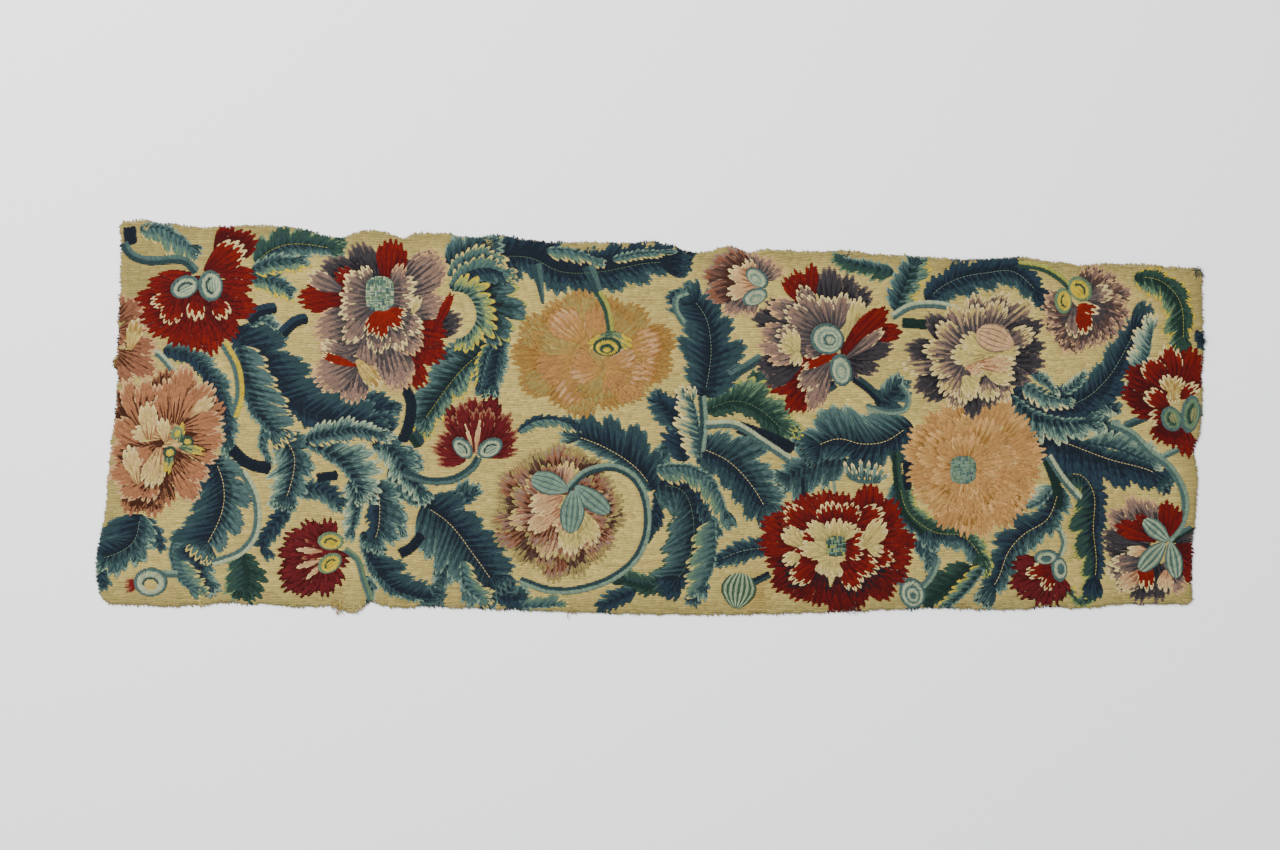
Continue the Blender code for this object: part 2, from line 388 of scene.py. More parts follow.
class Work:
    """The stitches of one motif, gathered before they are joined into one piece."""

    def __init__(self, name):
        self.name = name
        self.rows = []

    def lay(self, start, end, shade, patch=None, width=STITCH_PITCH, lift=0.0):
        """Add stitches, each shortened to its longest stretch on the motif's patch."""
        start = np.asarray(start, dtype=float)
        end = np.asarray(end, dtype=float)
        if len(start) == 0:
            return
        shade = np.broadcast_to(shade, (len(start), 3))
        width = np.broadcast_to(width, (len(start),))
        lift = np.broadcast_to(lift, (len(start),))
        if patch is not None:
            steps = np.linspace(0.0, 1.0, FIT_STEPS)
            across = end - start
            spots = start[:, None, :] + across[:, None, :] * steps[None, :, None]
            kept = holds(patch, spots)
            run = np.zeros(len(start), dtype=int)
            longest = np.zeros(len(start), dtype=int)
            last = np.zeros(len(start), dtype=int)
            for index in range(FIT_STEPS):
                run = np.where(kept[:, index], run + 1, 0)
                better = run > longest
                longest = np.where(better, run, longest)
                last = np.where(better, index, last)
            first = last - longest + 1
            fits = longest > 1
            begin = start + across * steps[np.clip(first, 0, FIT_STEPS - 1)][:, None]
            finish = start + across * steps[last][:, None]
            start, end = begin[fits], finish[fits]
            shade, width, lift = shade[fits], width[fits], lift[fits]
        size = np.linalg.norm(end - start, axis=1)
        kept = size > SHORTEST_STITCH
        self.rows.append((start[kept], end[kept], shade[kept], width[kept], lift[kept]))

    def sew(self, base=LINEN_THICKNESS, tail=STITCH_TAIL):
        """Join the gathered stitches into one piece of the panel."""
        start, end, shade, width, lift = (np.concatenate(part) for part in zip(*self.rows))
        count = len(start)
        along = end - start
        size = np.linalg.norm(along, axis=1)
        along = along / size[:, None]
        across = np.stack([-along[:, 1], along[:, 0]], axis=1)
        middle = 0.5 * (start + end)
        middle = middle + across * chance.normal(0.0, SWAY, (count, 1)) * width[:, None]
        wide = width * chance.uniform(*YARN_WIDTHS, count)
        high = STITCH_HEIGHT * chance.uniform(*YARN_HEIGHTS, count)
        reach = size + 2.0 * tail
        spots = np.empty((count, len(yarn_points), 3))
        spots[..., :2] = (
            middle[:, None, :]
            + along[:, None, :] * (reach[:, None, None] * yarn_points[None, :, 0, None])
            + across[:, None, :] * (wide[:, None, None] * yarn_points[None, :, 1, None])
        )
        spots[..., 2] = base + lift[:, None] + high[:, None] * yarn_points[None, :, 2]
        corners = (yarn_corners[None, :] + np.arange(count)[:, None] * len(yarn_points)).ravel()
        sizes = np.tile(yarn_sizes, count)
        mesh = bpy.data.meshes.new(self.name)
        mesh.vertices.add(count * len(yarn_points))
        mesh.vertices.foreach_set("co", spots.astype(np.float32).ravel())
        mesh.loops.add(len(corners))
        mesh.loops.foreach_set("vertex_index", corners.astype(np.int32))
        mesh.polygons.add(len(sizes))
        starts = np.concatenate([[0], np.cumsum(sizes)[:-1]])
        mesh.polygons.foreach_set("loop_start", starts.astype(np.int32))
        mesh.polygons.foreach_set("use_smooth", np.ones(len(sizes), dtype=bool))
        shade = shade * np.clip(chance.normal(1.0, SHADE_SPREAD, (count, 1)), 0.7, 1.3)
        shade = shade * np.clip(chance.normal(1.0, HUE_SPREAD, (count, 3)), 0.9, 1.1)
        # wool colour of each point, with painted shade at the foot and ends of the yarn
        vertex_shade = np.ones((count, len(yarn_points), 4), dtype=np.float32)
        vertex_shade[..., :3] = shade[:, None, :] * yarn_painted_shade[None, :, None]
        dye_layer = mesh.color_attributes.new("dye_with_painted_shade", "FLOAT_COLOR", "POINT")
        dye_layer.data.foreach_set("color", vertex_shade.ravel())
        flat_map = mesh.uv_layers.new(name="OFBake")
        twist_layer = mesh.uv_layers.new(name="twist")
        low = spots[..., :2].reshape(-1, 2).min(axis=0)
        extent = (spots[..., :2].reshape(-1, 2).max(axis=0) - low).max()
        flat = (spots[..., :2].reshape(-1, 2) - low) / extent
        flat_map.data.foreach_set("uv", flat[corners].astype(np.float32).ravel())
        turn = np.empty((count, len(yarn_points), 2))
        turn[..., 0] = yarn_points[None, :, 0] * reach[:, None] * TWISTS_PER_METRE
        turn[..., 1] = yarn_points[None, :, 1] * TWIST_ACROSS
        turn = turn.reshape(-1, 2)
        twist_layer.data.foreach_set("uv", turn[corners].astype(np.float32).ravel())
        mesh.update(calc_edges=True)
        mesh.validate()
        mesh.materials.append(wool_material)
        piece = bpy.data.objects.new(self.name, mesh)
        bpy.context.scene.collection.objects.link(piece)
        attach(piece, "root")
        sewn_places.append(middle)
        sewn_shades.append(shade)


# Pods, sepals and seed heads: small padded ovals worked in rings of short stitches,
# each ring in its own shade, with straight stitches in the heart. The rings lie
# towards one side of the pod.

RING_SHIFT = 0.30
RING_SLANT = 0.12
RING_JITTER = 0.02
PATCH_MARGIN = 1.04
SEED_CHECK = 0.0030
SEED_ROWS = 3
SEED_SQUARENESS = 0.65


def oval(work, at, long, wide, turn, rings, lift=0.0005):
    """One padded oval. Rings run inwards: the fraction where each ends, and its wool.

    A ring of two wools changes half way round.
    """
    centre = on_cloth(at)
    turn = math.radians(turn)
    axis = np.array([math.cos(turn), math.sin(turn)])
    side = np.array([-axis[1], axis[0]])

    def spot(angle, part):
        along = long * MM * np.cos(angle)[:, None] * axis
        swing = along + wide * MM * np.sin(angle)[:, None] * side
        part = np.reshape(part, (-1, 1))
        return centre + swing * part - RING_SHIFT * long * MM * (1.0 - part) * side

    round_angles = np.linspace(0.0, 2.0 * math.pi, 48, endpoint=False)
    patch = claim(spot(round_angles, PATCH_MARGIN))
    around = 2.0 * math.pi * math.sqrt(0.5 * (long ** 2 + wide ** 2)) * MM
    outer = 1.0
    for inner, wool in rings:
        names = [wool, wool] if isinstance(wool, str) else wool
        middle = 0.5 * (outer + inner)
        if inner > 0.0:
            count = max(8, round(around * max(middle, 0.25) / STITCH_PITCH))
            angle = np.linspace(0.0, 2.0 * math.pi, count, endpoint=False)
            jitter = chance.normal(0.0, RING_JITTER, count)
            shade = np.where((np.sin(angle) > 0.0)[:, None], dyed(names[0]), dyed(names[1]))
            work.lay(
                spot(angle - RING_SLANT, outer + jitter),
                spot(angle + RING_SLANT, inner + jitter),
                shade, patch, lift=lift * (1.0 - 0.6 * middle ** 2),
            )
        else:
            rows = max(2, round(2.0 * outer * wide * MM / STITCH_PITCH))
            level = (np.arange(rows) + 0.5) / rows * 2.0 - 1.0
            reach = np.sqrt(1.0 - level ** 2) * outer
            offset = (level * outer * wide * MM)[:, None] * side
            swing = (reach * long * MM)[:, None] * axis
            heart = centre - RING_SHIFT * long * MM * (1.0 - outer) * side
            shade = np.array([dyed(names[index % len(names)]) for index in range(rows)])
            work.lay(heart + offset - swing, heart + offset + swing, shade, patch, lift=lift)
        outer = inner


def seed_block(work, at, wide, high, wools, lift=0.0004):
    """A seed head of short stitches laid this way and that, like a basket."""
    centre = on_cloth(at)
    angles = np.linspace(0.0, 2.0 * math.pi, 40, endpoint=False)
    round_way = np.stack([np.cos(angles), np.sin(angles)], axis=1)
    squared = np.sign(round_way) * np.abs(round_way) ** SEED_SQUARENESS
    swing = 0.5 * MM * squared * (wide, high)
    patch = claim(centre + swing * PATCH_MARGIN)
    block = SEED_CHECK
    columns = math.ceil(wide * MM / block)
    rows = math.ceil(high * MM / block)
    level = (np.arange(SEED_ROWS) + 0.5) * block / SEED_ROWS
    still = np.zeros(SEED_ROWS)
    for row in range(rows):
        for column in range(columns):
            low = centre + block * np.array([column - 0.5 * columns, row - 0.5 * rows])
            if (row + column) % 2 == 0:
                start = low + np.stack([level, still], axis=1)
                end = start + (0.0, block)
            else:
                start = low + np.stack([still, level], axis=1)
                end = start + (block, 0.0)
            picked = chance.integers(len(wools), size=SEED_ROWS)
            shade = np.array([dyed(wools[index]) for index in picked])
            work.lay(start, end, shade, patch, lift=lift)


# Petals: long and short stitches that fan out from the petal's root, darkest where
# they come out from under the work in front and lighter at the tip. The edge is cut
# into small blunt fingers, which a row of short pale stitches follows.

FINGER_WIDTH = 0.0046
FINGER_DEPTH = 0.0056
FINGER_PULL = 0.26
FINGER_CUTS = (0.6, 1.0)
RIM_LENGTH = 0.0017
RIM_SPREAD = (0.4, 1.9)
RIM_LIMIT = 0.45
RIM_RUN = 7.0
SHORTEST_ROOM = 0.0006
LINE_STEPS = 33
TIER_OVERLAP = 0.3
FINGER_SHADE = 0.75
SHADE_MIX = 0.16
STRIPE_TIERS = 4
STRIPE_LINES = 4.5
STRIPE_LIFT = 0.0006
PETAL_SAG = 0.32
SEPAL_SAG = 0.10
PETAL_BEND = 0.08
FAN_BEND = 0.06
FAN_SWING = 0.16


def long_and_short(work, spot, ramp, patch, phase, lift, stripes=None, dimmed=0.0, bare=0.0):
    """Tiers of stitches on lines from the root of a motif to its edge.

    spot gives the places on all the lines at a way out from 0 to 1. phase is one on
    the middle line of each finger and nothing between two fingers.
    """
    steps = np.linspace(0.0, 1.0, LINE_STEPS)
    shown = holds(patch, np.stack([spot(step) for step in steps], axis=1))
    begin = np.where(shown.any(axis=1), steps[np.argmax(shown, axis=1)], 1.0)
    room = np.linalg.norm(spot(1.0) - spot(begin), axis=1)
    roomy = room[room > SHORTEST_ROOM]
    if len(roomy) == 0:
        return
    tiers = max(1, round(float(np.percentile(roomy, 75)) / STITCH_LENGTH))
    if stripes is not None:
        tiers = STRIPE_TIERS
    count = len(room)
    order = np.arange(count)
    uneven = np.interp(order / RIM_RUN, order, chance.uniform(*RIM_SPREAD, count))
    rim = RIM_LENGTH * uneven * (1.9 - phase) / np.maximum(room, 0.0001)
    rim = np.minimum(rim, RIM_LIMIT)
    for tier in range(tiers + 1):
        if tier == tiers:
            low = 1.0 - (1.0 - begin) * (rim + 0.02)
            high = np.ones(count)
            wool = np.where((phase > bare)[:, None], dyed(ramp[-1]), dyed(ramp[-2]))
        else:
            inner = (1.0 - begin) * (1.0 - rim)
            back = (tier > 0) * chance.uniform(0.0, TIER_OVERLAP, count)
            low = begin + inner * (tier - back) / tiers
            high = begin + inner * (tier + 1) / tiers
            position = (tier + 0.5) / tiers + FINGER_SHADE * (phase - 0.5) - dimmed
            wool = shades(ramp[:-1], position + chance.normal(0.0, SHADE_MIX, count))
        if stripes is not None:
            turns = 2.0 * math.pi * max(3, round(count / STRIPE_LINES))
            wool = shades(stripes, 0.5 - 0.5 * np.cos(np.linspace(0.0, turns, count)))
        start, end = spot(low), spot(high)
        spacing = float(np.median(np.linalg.norm(np.diff(end, axis=0), axis=1)))
        step = max(1, int(STITCH_PITCH / max(spacing, 0.0002)))
        pick = slice(step // 2, None, step)
        work.lay(start[pick], end[pick], wool[pick], patch, lift=lift)


def fingered(part, fingers):
    """Which finger each line is on, its phase, and how far its finger's middle is."""
    along = np.clip(part, 0.0, 0.99999) * fingers
    finger = along.astype(int)
    off = along - finger
    return finger, 1.0 - np.abs(2.0 * off - 1.0), (0.5 - off) / fingers


def drawn_in(out, phase):
    """How far a line has drawn in towards the middle of its finger."""
    return FINGER_PULL * np.sqrt(phase) * np.clip((out - 0.5) / 0.5, 0.0, 1.0) ** 2


def petal(work, root, angle, length, half_width, ramp, lift=0.0, stripes=None, bend=0.0):
    """One petal: its root on the cloth, the way it points, and its size in metres."""
    axis = np.array([math.cos(angle), math.sin(angle)])
    side = np.array([-axis[1], axis[0]])
    fingers = max(1, round(2.0 * half_width / FINGER_WIDTH))
    depth = 0.0 if stripes is not None else min(FINGER_DEPTH, 0.4 * length) / length
    sag = PETAL_SAG if stripes is None else SEPAL_SAG
    cuts = chance.uniform(*FINGER_CUTS, fingers) * depth

    def place(out, part):
        finger, phase, middle = fingered(part, fingers)
        across = 2.0 * part - 1.0
        edge = 1.0 - sag * np.abs(across) ** 2.4 - cuts[finger] * (1.0 - phase) ** 2.6
        out = np.broadcast_to(out, np.shape(part))
        far = out * edge
        across = across + 2.0 * middle * drawn_in(out, phase) * (depth > 0.0)
        if stripes is None:
            spread = 0.24 + 0.76 * np.sin(0.5 * math.pi * np.clip(far / 0.75, 0.0, 1.0))
        else:
            spread = np.sin(math.pi * (0.06 + 0.80 * far))
        sideways = across * spread * half_width + bend * length * far ** 2
        return root + (far * length)[..., None] * axis + sideways[..., None] * side

    climb = np.linspace(0.0, 1.0, 9)
    edge = place(1.0, np.linspace(0.0, 1.0, 8 * fingers + 9))
    left = place(climb, np.zeros(9))
    right = place(climb[::-1], np.ones(9))
    patch = claim(np.concatenate([left, edge, right]))
    lines = max(3, round(2.0 * half_width / STITCH_PITCH))
    part = (np.arange(lines) + 0.5) / lines
    _, phase, _ = fingered(part, fingers)
    long_and_short(
        work, lambda out: place(out, part), ramp or stripes, patch, phase, lift, stripes,
        0.45 * np.abs(2.0 * part - 1.0) ** 4,
    )


def fan(work, at, count, first, last, root, reach, half_width, ramp,
        lift=0.0, stretch=(1.0, 1.0), stripes=None, wobble=0.05):
    """Petals set round a centre, from one angle in degrees to another, sizes in mm.

    Where ramp is a list, the petals take its ramps in turn.
    """
    centre = on_cloth(at)
    ramps = ramp if isinstance(ramp, list) else [ramp]
    turn = (last - first) / count
    for index in range(count):
        degrees = first + (index + 0.5) * turn + chance.uniform(-FAN_SWING, FAN_SWING) * turn
        angle = math.radians(degrees)
        out = np.array([math.cos(angle) * stretch[0], math.sin(angle) * stretch[1]])
        scale = float(np.linalg.norm(out))
        pointing = math.atan2(out[1], out[0])
        long = (reach - root) * MM * scale * (1.0 + chance.uniform(-wobble, wobble))
        petal(
            work, centre + out * root * MM, pointing, long, half_width * MM,
            ramps[index % len(ramps)], lift, stripes, chance.uniform(-FAN_BEND, FAN_BEND),
        )


def striped(work, at, first, last, reach, half_width, wools):
    """One striped sepal or bud, pointing between two angles, its sizes in mm."""
    fan(
        work, at, 1, first, last, 0.0, reach, half_width, None, STRIPE_LIFT,
        stripes=wools,
    )


# shades of the petals, from the root to the tip
PETAL_SHADES = {
    "red cream": ("maroon", "crimson", "scarlet", "cream"),
    "scarlet cream": ("scarlet", "scarlet", "cream"),
    "red": ("maroon", "crimson", "crimson", "scarlet", "crimson"),
    "dark red": ("maroon", "maroon", "crimson", "crimson"),
    "wine": ("maroon", "brick", "brick", "maroon"),
    "brick cream": ("maroon", "brick", "brick", "rose"),
    "salmon": ("umber", "salmon", "salmon", "salmon", "blush"),
    "rose salmon": ("umber", "umber", "salmon", "salmon"),
    "rose mauve": ("umber", "plum", "rose", "mauve"),
    "dusty rose": ("umber", "rose", "rose", "blush"),
    "cream": ("khaki", "straw", "straw", "cream"),
    "shadowed cream": ("rose", "straw", "blush", "straw", "cream"),
    "ochre cream": ("ochre", "straw", "ochre", "cream"),
    "mauve": ("slate", "grey mauve", "mauve", "mauve", "blush"),
    "mauve cream": ("slate", "grey mauve", "mauve", "cream"),
    "dusk": ("ink", "slate", "slate", "grey mauve"),
    "smoke": ("slate", "grey mauve", "mauve", "straw", "cream"),
    "heart": ("rose", "blush", "blush", "cream"),
    "spray": ("deep teal", "teal", "pale teal", "cream"),
    "sepal": ("leaf green", "sea green", "yellow", "yellow"),
}


def petals(work, lift, rows):
    """Petals from a table: a row for each shade, and the petals in it.

    Each petal is root x and y, tip x and y in the photograph, and half width in mm.
    """
    for wool, *same_shade in rows:
        for root_x, root_y, tip_x, tip_y, half_width in same_shade:
            root, tip = on_cloth([(root_x, root_y), (tip_x, tip_y)])
            way = tip - root
            petal(
                work, root, math.atan2(way[1], way[0]), float(np.linalg.norm(way)),
                half_width * MM, PETAL_SHADES[wool], lift, None,
                chance.uniform(-PETAL_BEND, PETAL_BEND),
            )


# Stems: satin stitches laid across them in two halves, one light and one dark, that
# meet on the middle line.

STEM_SLANT = 0.5
STEM_LOOSE = 0.05
BROAD_STEM = 6.5
CURVE_STEPS = 24


def smooth(path, spacing):
    """A smooth line through given places, in even steps, with its directions."""
    knots = on_cloth(path)
    padded = np.vstack([2 * knots[0] - knots[1], knots, 2 * knots[-1] - knots[-2]])
    part = np.linspace(0.0, 1.0, CURVE_STEPS, endpoint=False)[:, None]
    line = []
    for index in range(len(knots) - 1):
        before, start, end, after = padded[index:index + 4]
        line.append(0.5 * (
            2 * start + (end - before) * part
            + (2 * before - 5 * start + 4 * end - after) * part ** 2
            + (3 * start - before - 3 * end + after) * part ** 3
        ))
    line = np.vstack([*line, knots[-1:]])
    run = np.concatenate([[0.0], np.cumsum(np.linalg.norm(np.diff(line, axis=0), axis=1))])
    count = max(3, round(run[-1] / spacing))
    at = np.linspace(0.0, run[-1], count + 1)
    spots = np.stack([np.interp(at, run, line[:, 0]), np.interp(at, run, line[:, 1])], axis=1)
    ahead = np.gradient(spots, axis=0)
    ahead /= np.linalg.norm(ahead, axis=1)[:, None]
    return spots, ahead, run[-1]


def stem(work, path, width, light, dark, taper=0.0, lift=0.0003):
    """One stem along given places, its width in mm."""
    spots, ahead, _ = smooth(path, STITCH_PITCH)
    side = np.stack([-ahead[:, 1], ahead[:, 0]], axis=1)
    part = np.linspace(0.0, 1.0, len(spots))
    half = (0.5 * width * MM * (1.0 - taper * part))[:, None]
    patch = claim(np.vstack([spots + half * side, (spots - half * side)[::-1]]))
    slant = ahead * half * STEM_SLANT
    loose = chance.normal(0.0, STEM_LOOSE, (len(spots), 1)) * half
    tiers = 1 if width < BROAD_STEM else 2
    for tier in range(tiers):
        begin, finish = tier / tiers, (tier + 1) / tiers
        for sign, wool in ((1.0, light), (-1.0, dark)):
            shift = side * half * sign
            work.lay(
                spots + shift * begin - slant * begin + side * loose,
                spots + shift * finish - slant * finish,
                dyed(wool), patch, lift=lift,
            )


# Carnation seen from the side, with two pods at its root: scarlet and maroon wool
# with cream on the edges of the inner petals.

GREY_OVAL = [
    (0.80, "teal"), (0.60, "ice"), (0.46, ("deep teal", "ice")), (0.0, ("pale teal", "ice")),
]
work = Work("carnation")
oval(work, (185, 287), 11.0, 8.0, 25.0, GREY_OVAL)
oval(work, (211, 286), 11.5, 9.0, 95.0, GREY_OVAL)
petals(work, 0.0003, [
    ("red cream", (206, 273, 243, 243, 12), (176, 296, 151, 305, 6), (178, 298, 169, 325, 9),
     (198, 296, 194, 321, 8), (214, 298, 227, 319, 8)),
])
petals(work, 0.0, [
    ("dark red", (216, 262, 256, 234, 12), (216, 256, 234, 225, 9)),
    ("red", (214, 284, 252, 293, 8), (220, 274, 258, 276, 8), (176, 284, 147, 287, 8),
     (192, 274, 157, 277, 5), (174, 296, 134, 299, 8), (212, 304, 258, 311, 10),
     (182, 308, 139, 319, 10), (184, 310, 152, 338, 10), (190, 314, 171, 347, 10),
     (197, 316, 195, 353, 10), (202, 314, 218, 355, 10)),
    ("dark red", (206, 308, 238, 338, 11), (198, 276, 198, 322, 30)),
])
work.sew()

# Peony, cut by the left side, with a green and yellow calyx: salmon and blush wool,
# with umber shadows between the rows of petals.

work = Work("peony")
oval(work, (177, 433), 5.0, 3.6, 60.0, [(0.6, "sea green"), (0.0, "yellow")])
oval(work, (188, 441), 4.4, 3.6, 0.0, [(0.6, "leaf green"), (0.0, "yellow")])
oval(work, (170, 452), 5.0, 4.2, 20.0, [(0.6, "leaf green"), (0.0, "yellow")])
petals(work, 0.0004, [
    ("sepal", (180, 442, 184, 423, 3.4), (180, 447, 206, 451, 4.2), (172, 448, 166, 474, 4.2)),
])
petals(work, 0.0003, [
    ("shadowed cream", (150, 440, 148, 402, 8), (160, 438, 132, 430, 7), (166, 442, 163, 417, 6),
     (160, 448, 150, 489, 10), (138, 484, 126, 446, 7)),
    ("salmon", (156, 446, 134, 462, 8), (184, 428, 225, 418, 10), (188, 442, 227, 438, 9),
     (190, 452, 219, 456, 8), (182, 460, 207, 482, 9), (174, 466, 198, 501, 10)),
    ("shadowed cream", (190, 418, 214, 398, 6)),
    ("salmon", (180, 426, 213, 383, 11), (176, 424, 192, 365, 11), (168, 424, 170, 378, 9),
     (158, 440, 160, 396, 9)),
])
petals(work, 0.0001, [
    ("salmon", (148, 428, 146, 378, 10), (146, 432, 126, 380, 10), (150, 446, 112, 420, 10),
     (152, 456, 108, 448, 10), (152, 468, 107, 478, 10), (152, 474, 120, 498, 10),
     (156, 470, 144, 502, 9)),
    ("rose salmon", (160, 474, 166, 508, 10), (144, 480, 126, 514, 10), (152, 480, 150, 518, 10),
     (150, 440, 112, 390, 12), (180, 440, 222, 400, 12), (166, 420, 170, 368, 14),
     (166, 440, 128, 420, 22), (160, 450, 176, 486, 22)),
    ("shadowed cream", (146, 446, 206, 440, 22)),
])
work.sew()

# Bloom above the peony, cut by the left side: dusty rose wool that is pale at the
# tips, with one ochre and cream petal over it.

work = Work("cut_bloom")
petals(work, 0.0002, [
    ("ochre cream", (130, 350, 138, 318, 7)),
    ("dusty rose", (126, 344, 160, 348, 8), (120, 330, 152, 322, 8), (118, 320, 144, 301, 9),
     (120, 310, 124, 294, 7), (118, 352, 158, 374, 10), (116, 360, 132, 384, 9),
     (112, 330, 128, 345, 14)),
])
work.sew()

# Poppy with a square seed head: rows of grey and mauve petals with pale tips, a few
# scarlet petals under the seed head, and crimson and near black ones at the rim.

work = Work("poppy")
seed_block(work, (380, 294), 21.0, 25.0, ("teal", "ice", "pale teal", "sea green"))
petals(work, 0.0004, [
    ("scarlet cream", (379, 311, 366, 335, 6), (381, 311, 382, 341, 6), (384, 311, 402, 330, 6),
     (386, 310, 408, 314, 4)),
    ("mauve cream", (372, 284, 362, 266, 6)),
    ("mauve", (392, 286, 404, 264, 6)),
    ("mauve cream", (370, 290, 345, 274, 8), (370, 298, 340, 292, 8), (370, 306, 338, 312, 8),
     (390, 290, 418, 284, 8), (390, 300, 416, 302, 7), (374, 310, 343, 341, 9),
     (380, 318, 378, 354, 10), (390, 312, 422, 333, 9), (386, 318, 402, 352, 8)),
])
petals(work, 0.0002, [
    ("cream", (412, 314, 421, 296, 4)),
    ("ochre cream", (357, 360, 381, 390, 7)),
    ("scarlet cream", (356, 366, 320, 355, 4)),
    ("red", (434, 332, 453, 292, 4)),
    ("mauve", (396, 294, 448, 262, 15)),
    ("red", (388, 286, 396, 239, 13)),
    ("mauve", (400, 292, 436, 250, 12), (404, 314, 448, 300, 11), (392, 322, 422, 350, 12),
     (384, 330, 404, 392, 15), (360, 362, 314, 384, 15), (360, 362, 348, 404, 13)),
    ("mauve cream", (348, 352, 320, 344, 6)),
    ("mauve", (366, 338, 366, 374, 9), (376, 316, 312, 334, 16), (370, 340, 318, 350, 12)),
])
petals(work, 0.0, [
    ("mauve cream", (342, 290, 306, 276, 8)),
    ("red", (360, 292, 298, 302, 13), (360, 290, 336, 270, 9), (406, 326, 446, 340, 11),
     (408, 336, 444, 362, 12), (398, 350, 422, 390, 11)),
    ("dusk", (374, 290, 322, 262, 13), (378, 290, 352, 244, 13), (420, 330, 464, 322, 11)),
    ("mauve", (380, 300, 380, 356, 26), (380, 316, 378, 270, 26)),
])
work.sew()

# Round ochre bloom under the long leaf, with a drooping green and yellow calyx: its
# petals differ by little more than the way the stitches run.

CALYX = [(0.80, "leaf green"), (0.55, "yellow"), (0.3, "leaf green"), (0.0, "yellow")]
TANNED = [
    ("rust", "ochre", "ochre", "ochre"),
    ("ochre", "tan", "blush", "tan"),
    ("ochre", "khaki", "ochre", "ochre"),
    ("ochre", "tan", "tan", "tan"),
]
work = Work("ochre_bloom")
oval(work, (607, 347), 10.5, 7.0, 0.0, CALYX)
petals(work, 0.0005, [
    ("sepal", (612, 334, 588, 346, 5), (606, 332, 632, 348, 6)),
])
stem(work, [(598, 292), (607, 310), (611, 334)], 5.6, "lime", "leaf green")
fan(work, (604, 368), 7, 10.0, 370.0, 0.5, 27.0, 11.0, TANNED[1:], 0.0003, (1.3, 0.9), None, 0.25)
fan(work, (597, 355), 10, 0.0, 360.0, 14.0, 40.0, 13.5, TANNED[1:], 0.0002, (1.23, 0.95), None, 0.2)
fan(work, (592, 354), 13, 0.0, 360.0, 26.0, 51.0, 14.0, TANNED[::2], 0.0, (1.22, 0.95), None, 0.16)
fan(work, (592, 354), 6, 0.0, 360.0, 2.0, 36.0, 26.0, TANNED, 0.0, (1.22, 0.95))
work.sew()

# Bloom inside the coiled stem: loose rays of brown and mauve on a cream field, a
# blush heart, and three striped sepals.

STRIPED = ("teal", "pale teal", "pale teal")
INNER_RAYS = [
    ("umber", "rose", "mauve", "blush", "straw"),
    ("umber", "rose", "mauve", "khaki"),
]
RAYS = [
    ("umber", "mauve", "rose", "khaki", "khaki"),
    ("umber", "rose", "mauve", "khaki"),
    ("umber", "plum", "khaki", "khaki"),
]
work = Work("coiled_bloom")
striped(work, (568, 490), 130.0, 190.0, 28.0, 9.0, STRIPED)
striped(work, (574, 490), 255.0, 278.0, 31.0, 9.5, STRIPED)
striped(work, (576, 486), 290.0, 335.0, 32.0, 8.0, STRIPED)
stem(
    work,
    [(567, 490), (585, 473), (610, 467), (632, 476), (645, 498), (647, 530),
     (636, 558), (612, 578), (580, 589), (550, 590), (520, 580)],
    5.4, "pale teal", "deep teal",
)
petals(work, 0.0003, [
    ("heart", (562, 496, 530, 510, 10), (572, 514, 556, 532, 8)),
    ("cream", (580, 510, 596, 544, 9), (572, 512, 572, 556, 11)),
    ("heart", (560, 510, 528, 530, 8)),
])
fan(work, (560, 510), 12, 0.0, 360.0, 12.0, 37.0, 10.0, INNER_RAYS, 0.0002, wobble=0.18)
fan(work, (558, 511), 18, 0.0, 360.0, 24.0, 52.0, 11.0, RAYS, 0.0, wobble=0.14)
work.sew()

# Crimson bud above its teal stem, with two pods: three rows of brick and maroon
# petals in wool that is paler at the tips, and two pale lines up the middle.

work = Work("crimson_bud")
oval(work, (463, 448), 9.2, 6.0, -48.0, GREY_OVAL)
oval(work, (490, 448), 10.0, 6.6, 30.0, GREY_OVAL)
petals(work, 0.0004, [
    ("heart", (476, 454, 478, 420, 2.2), (473, 452, 467, 424, 1.6)),
])
petals(work, 0.0002, [
    ("brick cream", (477, 452, 478, 408, 6), (474, 452, 461, 402, 7), (480, 450, 492, 408, 7),
     (472, 450, 448, 414, 7), (484, 450, 510, 412, 7)),
])
petals(work, 0.0, [
    ("brick cream", (484, 452, 518, 430, 8), (484, 456, 518, 447, 6), (468, 452, 438, 434, 7),
     (466, 456, 430, 449, 6), (466, 460, 436, 464, 5), (476, 440, 472, 396, 9)),
    ("wine", (480, 440, 496, 396, 10), (470, 440, 448, 406, 9)),
])
work.sew()

# Small maroon bloom with two yellow and green pods: a round of maroon petals, and a
# few pale ones that come out between the pods.

LIME_OVAL = [
    (0.78, "sea green"), (0.56, "yellow"), (0.42, ("leaf green", "yellow")), (0.0, "yellow"),
]
work = Work("maroon_bloom")
oval(work, (331, 541), 9.5, 6.6, 0.0, LIME_OVAL)
oval(work, (330, 563), 9.5, 6.6, 35.0, LIME_OVAL)
petals(work, 0.0003, [
    ("heart", (323, 551, 297, 551, 2.8), (322, 560, 297, 567, 2.8), (324, 563, 306, 578, 2.4)),
    ("brick cream", (322, 547, 305, 541, 2.4), (323, 555, 302, 559, 2.6)),
    ("wine", (340, 552, 312, 552, 5)),
])
petals(work, 0.0, [
    ("wine", (320, 552, 277, 551, 10), (322, 548, 284, 533, 9), (324, 548, 303, 520, 9),
     (328, 546, 326, 517, 9), (318, 560, 277, 575, 10), (320, 562, 283, 592, 9),
     (322, 562, 300, 598, 9), (324, 564, 324, 598, 9), (326, 564, 342, 586, 8),
     (330, 556, 350, 562, 7)),
])
work.sew()

# Half bloom at the top with two pods: brown and mauve petals, and three blush ones
# over them that come out from under the pods.

